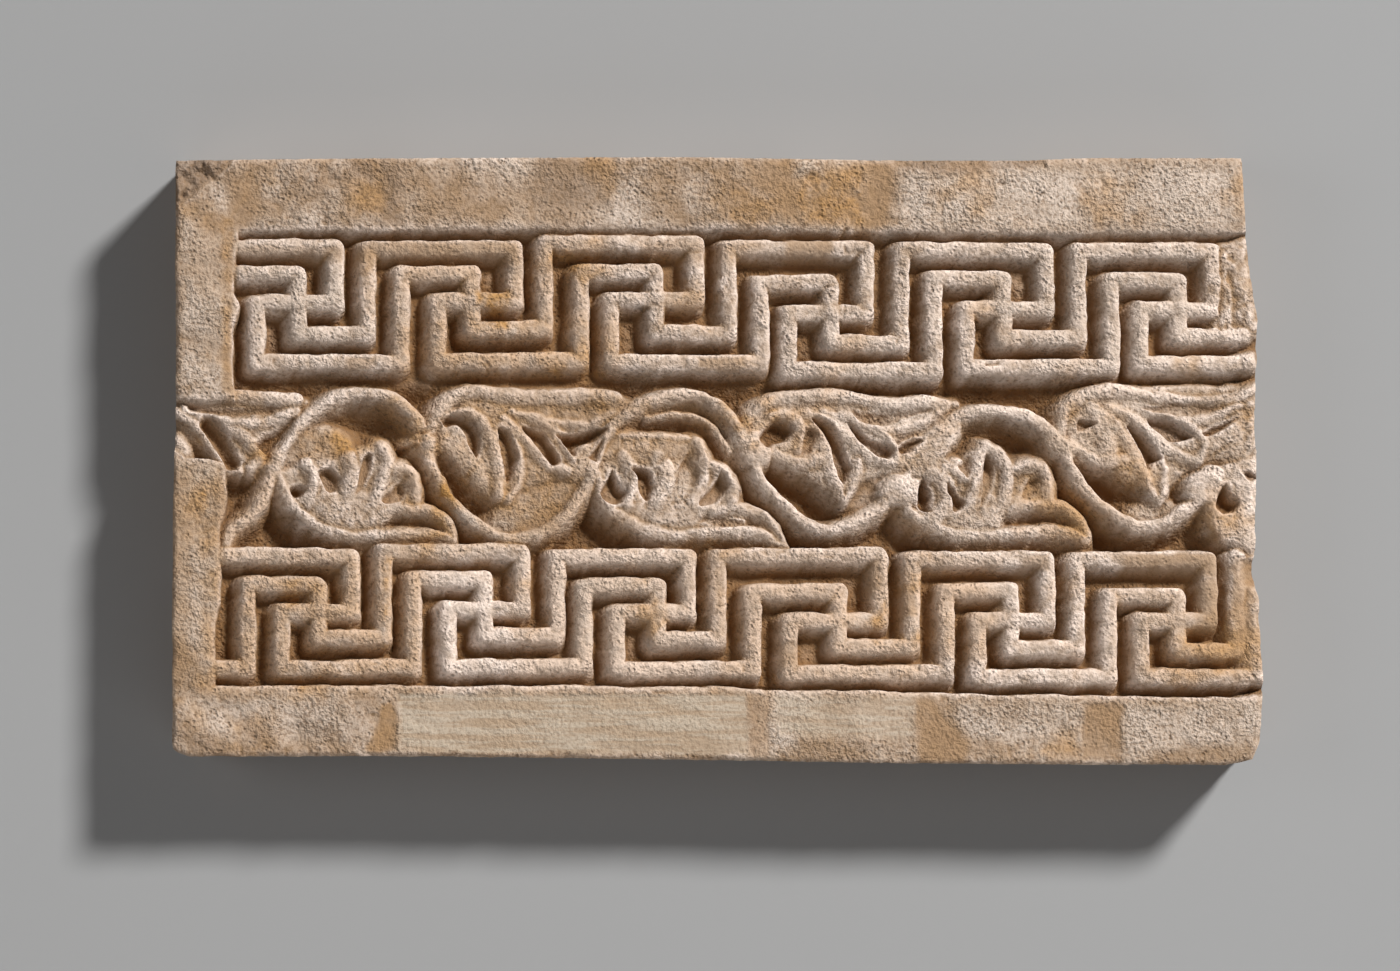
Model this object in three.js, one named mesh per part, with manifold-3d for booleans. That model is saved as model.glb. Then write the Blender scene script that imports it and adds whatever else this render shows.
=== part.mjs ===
// Stone relief panel: a slab from a wall frieze, carved from one block. A band of key
// meander runs along the top and another along the bottom, and a wavy vine with half
// acanthus leaves fills the band between them. A plain border frames the top, the left and
// the bottom; at the right the frieze is cut off through its pattern.
//
// Millimetres. The part's frame is X along the panel, Z up, -Y out of the wall, with the
// origin in the middle of the back face. The carving is laid out on the face (x to the right,
// y up, z out of the stone) and the finished solid is turned to stand upright.
import * as THREE from "three";
import { mergeVertices } from "three/addons/utils/BufferGeometryUtils.js";
import Module from "manifold-3d";

// Driving dimensions
const thickness = 90;
const wornArris = 4;
const meanderDepth = 17;
const scrollDepth = 27;
const ridgeFoot = thickness - scrollDepth - 1;
const cutPastEdge = 30;

// Edges of the slab, clockwise from the top left: nearly square, the right end a rough cut
const slabOutline = [
  [-498, 276], [-15, 279], [485, 278], [491, 193], [494, 64], [500, -55], [504, -212],
  [499, -277], [169, -280], [-291, -273], [-491, -270], [-500, -260], [-499, 0],
];

// Borders: how far the plain margin reaches in from each edge
const topMarginEdge = 211;
const leftMarginEdge = -440;
const lowerLeftMarginEdge = -458;
const scrollTop = 72;
const scrollBottom = -77;
const bottomMarginEdge = { left: -208, right: -218 };
const leafGap = { top: 50, bottomAtEdge: 14, bottomAtMargin: -9 };

// Meander: five rows of bars one pitch apart, and the columns of each hand-set key
const rowPitch = 26.5;
const bar = { topHalf: 6.5, foot: 9.5, drop: 0.6 };
const topBand = {
  centreRow: 144,
  leftEnd: leftMarginEdge - 2,
  keys: [
    { lift: 1, leftArm: -422, centre: -384, rightArm: -349, riser: -318, hook: -289 },
    { lift: 1, leftArm: -256, centre: -224, rightArm: -185, riser: -154, hook: -124 },
    { lift: 2, leftArm: -95, centre: -55, rightArm: -17, riser: 12, hook: 43 },
    { lift: -4, leftArm: 67, centre: 107, rightArm: 139, riser: 171, hook: 203 },
    { lift: -2, leftArm: 232, centre: 265, rightArm: 305, riser: 335, hook: 366 },
    { lift: -2, leftArm: 392, centre: 427, rightArm: 458, riser: null, hook: null },
  ],
};
const bottomBand = {
  centreRow: -141,
  leftEnd: lowerLeftMarginEdge - 2,
  firstHook: -430,
  keys: [
    { lift: 3, leftArm: -399, centre: -365, rightArm: -334, riser: -305, hook: -277 },
    { lift: 4, leftArm: -245, centre: -212, rightArm: -177, riser: -145, hook: -119 },
    { lift: 1, leftArm: -91, centre: -53, rightArm: -22, riser: 6, hook: 35 },
    { lift: -3, leftArm: 66, centre: 113, rightArm: 152, riser: 182, hook: 213 },
    { lift: -4, leftArm: 242, centre: 273, rightArm: 306, riser: 333, hook: 364 },
    { lift: -4, leftArm: 393, centre: 426, rightArm: 457, riser: 489, hook: null },
  ],
};

// Vine: the stem swings from node to node, over a standing leaf and under a hanging one in turn
const stem = { topHalf: 6.5, foot: 9, steps: 8, drop: 1.5 };
const knob = { along: 15, across: 17, rise: 3 };
const nodes = [
  { x: -549, y: 14, swing: -66 },
  { x: -401, y: -14, swing: 60 },
  { x: -261, y: 18, swing: -69 },
  { x: -109, y: -14, swing: 61 },
  { x: 33, y: 11, swing: -53 },
  { x: 172, y: -21, swing: 49 },
  { x: 324, y: 18, swing: -57 },
  { x: 457, y: -25, swing: 58 },
  { x: 610, y: 16, swing: 0 },
];

// Half acanthus leaves, laid out from the node that each springs from: the middle line of each
// rib, half its width along the top, and what is left of that at a pointed end
const standingLeaf = [
  { half: 8, tip: 2, line: [[4, -11], [14, -30], [37, -46], [74, -51], [132, -49], [176, -57]] },
  { half: 11, line: [[42, -34], [69, -32], [106, -29]] },
  { half: 5, line: [[5, 12], [28, 16], [51, 15], [66, 4]] },
  { half: 5, line: [[24, 11], [38, 1], [44, -13], [42, -30]] },
  { half: 6, line: [[62, -30], [68, 7], [81, 33]] },
  { half: 6, line: [[81, 33], [95, 25], [101, 5], [98, -27]] },
  { half: 6, line: [[99, 9], [122, 14], [132, 0], [131, -22], [109, -29]] },
  { half: 5, tip: 2, line: [[120, -25], [148, -25], [168, -40], [176, -57]] },
];
const hangingLeaf = [
  { half: 7, line: [[5, 20], [9, 36], [26, 45], [55, 50], [110, 44], [178, 44]] },
  { half: 5, line: [[62, 42], [83, 30], [110, 23], [140, 20], [176, 38]] },
  { half: 5, line: [[26, 42], [42, 33], [48, 20], [41, 6], [54, -4]] },
  { half: 6, tip: 2, line: [[46, 34], [59, 9], [68, -15], [81, -50]] },
  { half: 6, line: [[58, 42], [87, 9], [109, -9], [136, -18]] },
  { half: 5, tip: 2, line: [[92, 2], [97, -15], [82, -50]] },
  { half: 5, line: [[83, 32], [113, 16], [128, 4], [133, -12]] },
];
const leafDrop = 1;

const wasm = await Module();
wasm.setup();

function solidOf(geometry) {
  const bare = geometry.clone();
  bare.deleteAttribute("normal");
  bare.deleteAttribute("uv");
  const merged = mergeVertices(bare, 1e-4);
  return new wasm.Manifold(
    new wasm.Mesh({
      numProp: 3,
      vertProperties: new Float32Array(merged.attributes.position.array),
      triVerts: new Uint32Array(merged.index.array),
    }),
  );
}

function geometryOf(solid) {
  const mesh = solid.getMesh();
  const geometry = new THREE.BufferGeometry();
  geometry.setAttribute("position", new THREE.BufferAttribute(mesh.vertProperties, 3));
  geometry.setIndex(new THREE.BufferAttribute(mesh.triVerts, 1));
  geometry.computeVertexNormals();
  return geometry;
}

// A straight-walled block of the given outline between two heights
function prism(points, low, high) {
  const shape = new THREE.Shape(points.map(([x, y]) => new THREE.Vector2(x, y)));
  const geometry = new THREE.ExtrudeGeometry(shape, { depth: high - low, bevelEnabled: false });
  geometry.translate(0, 0, low);
  return solidOf(geometry);
}

// The sideways direction at one point of a line, lengthened at a corner so that the walls stay
// parallel to the line
function sideAt(points, i) {
  const before = points[Math.max(i - 1, 0)];
  const here = points[i];
  const after = points[Math.min(i + 1, points.length - 1)];
  const arriving = here.clone().sub(i > 0 ? before : here);
  const leaving = after.clone().sub(i < points.length - 1 ? here : after);
  if (arriving.lengthSq() === 0) arriving.copy(leaving);
  if (leaving.lengthSq() === 0) leaving.copy(arriving);
  arriving.normalize();
  leaving.normalize();
  const along = arriving.clone().add(leaving).normalize();
  const stretch = 1 / Math.max(along.dot(leaving), 0.6);
  return new THREE.Vector2(-along.y, along.x).multiplyScalar(stretch);
}

// A carved ridge: a flat top along a line, narrowing to its tip, with sloping walls on both
// sides and at both ends
function ridge(line, half, tip, foot, top, floor) {
  const points = line.map(([x, y]) => new THREE.Vector2(x, y));
  const last = points.length - 1;
  const startDir = points[0].clone().sub(points[1]).normalize();
  const endDir = points[last].clone().sub(points[last - 1]).normalize();
  const position = [];
  points.forEach((point, i) => {
    const side = sideAt(points, i);
    const topHalf = half + (tip - half) * (i / last) ** 3;
    const endways = new THREE.Vector2();
    if (i === 0) endways.copy(startDir);
    if (i === last) endways.copy(endDir);
    for (const [across, z, reach] of [
      [topHalf + foot, floor, topHalf + foot],
      [topHalf, top, topHalf],
      [-topHalf, top, topHalf],
      [-topHalf - foot, floor, topHalf + foot],
    ]) {
      const corner = point.clone().addScaledVector(side, across).addScaledVector(endways, reach);
      position.push(corner.x, corner.y, z);
    }
  });
  const index = [0, 1, 2, 0, 2, 3];
  for (let i = 0; i < last; i++) {
    for (let c = 0; c < 4; c++) {
      const a = 4 * i + c;
      const b = 4 * i + ((c + 1) % 4);
      index.push(a, a + 4, b + 4, a, b + 4, b);
    }
  }
  const end = 4 * last;
  index.push(end, end + 2, end + 1, end, end + 3, end + 2);
  const geometry = new THREE.BufferGeometry();
  geometry.setAttribute("position", new THREE.Float32BufferAttribute(position, 3));
  geometry.setIndex(index);
  const solid = solidOf(geometry);
  if (solid.volume() > 0) return solid;
  const turned = [];
  for (let i = 0; i < index.length; i += 3) turned.push(index[i], index[i + 2], index[i + 1]);
  geometry.setIndex(turned);
  return solidOf(geometry);
}

// The two bars that tie each key to the next, and the cut ones at both ends of the band
function meander(band) {
  const rightEnd = slabOutline[6][0] + cutPastEdge;
  const row = (key, n) => band.centreRow + n * rowPitch + key.lift;
  const lines = [];
  const first = band.keys[0];
  lines.push([
    [band.leftEnd, row(first, 2)], [first.rightArm, row(first, 2)],
    [first.rightArm, row(first, 0)], [first.centre, row(first, 0)],
  ]);
  const intoFirst = [[first.centre, row(first, 1)], [first.centre, row(first, 0)]];
  if (band.firstHook === undefined) {
    lines.push([[band.leftEnd, row(first, 1)], ...intoFirst]);
  } else {
    lines.push([
      [band.leftEnd, row(first, -2)], [band.firstHook, row(first, -2)],
      [band.firstHook, row(first, 1)], ...intoFirst,
    ]);
  }
  band.keys.forEach((key, i) => {
    const next = band.keys[i + 1];
    const upper = [[key.centre, row(key, 0)], [key.centre, row(key, -1)]];
    const lower = [
      [key.centre, row(key, 0)], [key.leftArm, row(key, 0)], [key.leftArm, row(key, -2)],
    ];
    if (next) {
      upper.push(
        [key.riser, row(key, -1)], [key.riser, row(next, 2)], [next.rightArm, row(next, 2)],
        [next.rightArm, row(next, 0)], [next.centre, row(next, 0)],
      );
      lower.push(
        [key.hook, row(key, -2)], [key.hook, row(next, 1)],
        [next.centre, row(next, 1)], [next.centre, row(next, 0)],
      );
    } else {
      if (key.riser !== null) upper.push([key.riser, row(key, -1)], [key.riser, row(key, 2)]);
      else upper.push([rightEnd, row(key, -1)]);
      lower.push([rightEnd, row(key, -2)]);
    }
    lines.push(upper, lower);
  });
  const top = thickness - bar.drop;
  return lines.map((line) => ridge(line, bar.topHalf, bar.topHalf, bar.foot, top, ridgeFoot));
}

// Points along the stem between two nodes
function swingLine(from, to) {
  const line = [];
  for (let i = 0; i <= stem.steps; i++) {
    const t = i / stem.steps;
    line.push([
      from.x + (to.x - from.x) * t,
      from.y + (to.y - from.y) * t + from.swing * Math.sin(Math.PI * t),
    ]);
  }
  return line;
}

function smoothLine(points, steps) {
  const curve = new THREE.SplineCurve(points.map(([x, y]) => new THREE.Vector2(x, y)));
  return curve.getPoints(steps).map((p) => [p.x, p.y]);
}

function nodeKnob(node) {
  const geometry = new THREE.SphereGeometry(1, 8, 6);
  geometry.rotateX(Math.PI / 2);
  geometry.scale(knob.along, knob.across, scrollDepth);
  geometry.translate(node.x, node.y, thickness - scrollDepth + knob.rise - 2);
  return solidOf(geometry);
}

function leaf(ribs, node, reach) {
  return ribs.map((rib) => {
    const placed = rib.line.map(([x, y]) => [node.x + x * reach, node.y + y]);
    const line = smoothLine(placed, 2 * (placed.length - 1));
    return ridge(line, rib.half, rib.tip ?? rib.half, stem.foot, thickness - leafDrop, ridgeFoot);
  });
}

// The vine with its leaves, each stretched to the bay that it fills
function vine() {
  const masterBay = 146;
  const pieces = [];
  nodes.slice(0, -1).forEach((node, i) => {
    const next = nodes[i + 1];
    const reach = (next.x - node.x) / masterBay;
    const line = swingLine(node, next);
    const top = thickness - stem.drop;
    pieces.push(ridge(line, stem.topHalf, stem.topHalf, stem.foot, top, ridgeFoot));
    pieces.push(nodeKnob(node));
    pieces.push(...leaf(node.swing > 0 ? standingLeaf : hangingLeaf, node, reach));
  });
  return pieces;
}

function slab() {
  const shape = new THREE.Shape(slabOutline.map(([x, y]) => new THREE.Vector2(x, y)));
  const geometry = new THREE.ExtrudeGeometry(shape, {
    depth: thickness - 2 * wornArris,
    bevelThickness: wornArris,
    bevelSize: wornArris,
    bevelOffset: -wornArris,
    bevelSegments: 1,
  });
  geometry.translate(0, 0, wornArris);
  return solidOf(geometry);
}

// The sunk grounds: one for each meander and a deeper one for the vine, all open at the right
function sunkGrounds() {
  const right = slabOutline[6][0] + cutPastEdge;
  const left = slabOutline[11][0] - cutPastEdge;
  const above = thickness + cutPastEdge;
  const meanderFloor = thickness - meanderDepth;
  const scrollFloor = thickness - scrollDepth;
  return [
    prism([
      [leftMarginEdge, topMarginEdge], [right, topMarginEdge], [right, scrollTop - 1],
      [leftMarginEdge - 8, scrollTop - 1],
    ], meanderFloor, above),
    prism([
      [leftMarginEdge - 8, scrollTop], [right, scrollTop], [right, scrollBottom],
      [leftMarginEdge - 10, scrollBottom], [leftMarginEdge - 14, leafGap.bottomAtMargin],
      [left, leafGap.bottomAtEdge], [left, leafGap.top], [leftMarginEdge - 8, leafGap.top],
    ], scrollFloor, above),
    prism([
      [lowerLeftMarginEdge, scrollBottom + 1], [right, scrollBottom + 1],
      [right, bottomMarginEdge.right], [lowerLeftMarginEdge, bottomMarginEdge.left],
    ], meanderFloor, above),
  ];
}

function reliefPanel() {
  let ground = slab();
  for (const sunk of sunkGrounds()) ground = ground.subtract(sunk);
  const carving = [...meander(topBand), ...meander(bottomBand), ...vine()];
  const raised = carving.reduce((joined, piece) => joined.add(piece));
  return ground.add(raised.intersect(slab()));
}

const stone = new THREE.MeshStandardMaterial({ color: 0xc9b79c, roughness: 0.95, metalness: 0 });

const panel = new THREE.Mesh(geometryOf(reliefPanel()), stone);
panel.name = "relief_panel";
panel.rotation.x = Math.PI / 2;

const part = new THREE.Group();
part.name = "stone_relief_panel";
part.add(panel);
export default part;
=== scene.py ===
import bpy
import numpy as np
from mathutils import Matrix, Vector


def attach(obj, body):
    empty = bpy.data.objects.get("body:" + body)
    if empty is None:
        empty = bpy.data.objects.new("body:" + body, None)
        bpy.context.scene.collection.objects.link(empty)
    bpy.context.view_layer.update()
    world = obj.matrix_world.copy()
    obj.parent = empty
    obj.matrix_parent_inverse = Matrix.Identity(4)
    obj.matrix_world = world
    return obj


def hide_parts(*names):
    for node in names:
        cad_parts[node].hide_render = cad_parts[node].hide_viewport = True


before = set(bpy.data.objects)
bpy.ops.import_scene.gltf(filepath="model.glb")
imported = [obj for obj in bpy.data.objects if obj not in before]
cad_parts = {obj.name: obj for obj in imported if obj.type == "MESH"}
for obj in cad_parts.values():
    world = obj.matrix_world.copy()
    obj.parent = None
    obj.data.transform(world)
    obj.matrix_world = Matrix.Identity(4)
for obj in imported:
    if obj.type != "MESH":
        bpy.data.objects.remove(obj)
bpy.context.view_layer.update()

# Everything on the carved face is in millimetres from the middle of the panel, x right and y up.
# Heights are measured from the face of the border, so the sunk ground is negative.

# outline of the stone and of the plain margin round the sunk field
slab = {
    "thickness": 90.0,
    "faceStart": -500.0,
    "faceSize": (1004.0, 558.0),
    "left": [(-497.5, -273), (-500.5, -262), (-500.5, -129), (-499.5, -37), (-497.5, 55), (-497.5, 276)],
    "right": [(493, -279.5), (500.5, -259.5), (504, -221), (504, -199.5), (500.5, -147), (500.5, -129),
        (494, -103), (497.5, -78), (497.5, -37), (498.5, 9), (496, 26), (497, 37), (497.5, 69), (499.5, 92),
        (499.5, 130.5), (494, 163), (488.5, 202.5), (486, 244), (484, 278)],
    "top": [(-500.5, 276), (-290.5, 278), (-14.5, 279), (160, 276), (302.5, 276), (353.5, 278), (504, 278)],
    "bottom": [(-502.5, -264), (-497, -269.5), (-488.5, -273), (-424, -273), (-294.5, -272.5), (-162, -274),
        (40.5, -277), (169.5, -279), (335, -280.5), (482, -280.5), (504, -276)],
    "marginTop": [(-502.5, 213), (-198.5, 214.5), (40.5, 214.5), (169.5, 212), (307.5, 210.5),
        (504, 210.5)],
    "marginBottom": [(-502.5, -208), (-290.5, -208), (-14.5, -209), (59, -211.5), (169.5, -213.5),
        (261.5, -216), (399.5, -218), (504, -219)],
    "marginLeft": [(-443.5, 62.5), (-446, 83), (-446, 119.5), (-439, 144.5), (-444.5, 156.5),
        (-440.5, 202.5), (-440.5, 211.5)],
    "marginLowLeft": [(-462, -211.5), (-462, -147), (-457, -129), (-457, -83), (-456.5, -57), (-452.5, -44),
        (-450, -27.5), (-451, -7.5), (-455.5, 7.5)],
    "leafGapBottom": [(-502.5, 13), (-495, 6.5), (-487.5, 1), (-463.5, 1), (-452.5, -2), (-445.5, -9)],
    "leafGapTop": 57.0,
    "arris": 5.0,
    "marginSlope": 2.6,
    "meanderFloor": -19.0,
    "vineFloor": -29.0,
    "vineBand": (79.0, 62.0, -73.5, -88.5),
    "lean": 0.45,
}

# the two meanders: columns left arm, middle, right arm, riser and hook of each key, then its rows
meander = {
    "half": 6.6,
    "shift": (5.0, 3.6),
    "top": -0.4,
    "slope": 2.5,
    "round": 2.6,
    "upperColumns": [
        (-426, -387.5, -353.5, -324, -292.5),
        (-259.5, -228, -188.5, -160.5, -127),
        (-99, -58, -21, 8.5, 38.5),
        (63.5, 103, 135.5, 168.5, 198.5),
        (228, 261.5, 301, 331, 361.5),
        (388, 423, 453.5, 482, None),
    ],
    "upperRows": [
        (194, 169.5, 142.5, 114, 88.5),
        (193, 169.5, 144.5, 119, 89.5),
        (198, 171.5, 145.5, 115, 88),
        (193, 161.5, 133.5, 106, 81),
        (191.5, 166, 138, 111, 84),
        (191, 163, 137, 112.5, 86.5),
    ],
    "lowerColumns": [
        (-403, -369, -338.5, -309, -281.5),
        (-249.5, -216, -181, -149, -123.5),
        (-94, -57, -28, -0.5, 30.5),
        (64.5, 110.5, 148, 177.5, 209),
        (238.5, 268.5, 302, 329.5, 359.5),
        (389, 422.5, 451.5, 476.5, None),
    ],
    "lowerRows": [
        (-90, -116, -141.5, -165, -193),
        (-86.5, -111.5, -139, -163.5, -192),
        (-91, -118, -141.5, -167, -194.5),
        (-90, -123.5, -150, -174, -198),
        (-93, -122.5, -150, -175.5, -201.5),
        (-94, -127, -150, -177.5, -201.5),
    ],
    "upperLeft": -441.5,
    "lowerLeft": -458.0,
    "lowerHook": -434.0,
    "upperEnds": (480.0, 485.0),
    "lowerEnds": (None, 506.0),
}

# the vine: stem lines, and the knots where it forks as (x, y, radius)
vine = {
    "half": 4.0,
    "top": -2.0,
    "slope": 2.0,
    "round": 2.6,
    "stems": [
        [(-405.5, -9), (-417.5, -38.5), (-428.5, -50.5), (-442.5, -62.5), (-449, -75.5)],
        [(-405.5, -9), (-395.5, 13), (-382.5, 32), (-364.5, 50.5), (-341.5, 61.5), (-318.5, 63.5),
            (-295.5, 60), (-279.5, 48), (-270.5, 37), (-263, 17.5)],
        [(-263, 17.5), (-260.5, 2), (-254, -14), (-243, -32), (-228, -48), (-212.5, -60), (-197, -68),
            (-180.5, -70), (-157.5, -64.5), (-141.5, -55), (-129.5, -41.5), (-118.5, -26), (-111.5, -7.5)],
        [(-111.5, -7.5), (-102, 18.5), (-86.5, 41.5), (-65.5, 53.5), (-44, 61.5), (-24, 63.5), (-5.5, 58),
            (11, 48), (22, 32), (37.5, 9)],
        [(37.5, 9), (38.5, -4.5), (45, -18.5), (59, -34), (72.5, -47), (91, -58), (109.5, -60.5),
            (128, -56), (146.5, -45), (160, -35), (172, -23)],
        [(172, -23), (186, -4.5), (201.5, 14), (215.5, 32), (229, 43), (247.5, 48), (270.5, 47),
            (293.5, 41.5), (309, 29.5), (324, 14)],
        [(324, 14), (327.5, 0), (335, -14), (346, -28.5), (360.5, -42.5), (376.5, -53.5), (394.5, -59),
            (417.5, -55), (431.5, -46), (445.5, -35), (451.5, -22)],
    ],
    "knots": [(-404, -5.5, 7.5), (-263, 17.5, 8.5), (-112, -7.5, 8.5), (36, 11, 11), (172, -23, 11),
        (324, 14, 10), (450, -22, 8.5)],
    "knot": {"inset": 4.6, "top": -0.4, "slope": 1.4, "round": 5.4, "blend": 3.0},
}

# an upright outline from two corners
def box(left, top, right, bottom):
    return [(left, top), (right, top), (right, bottom), (left, bottom)]


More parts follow.
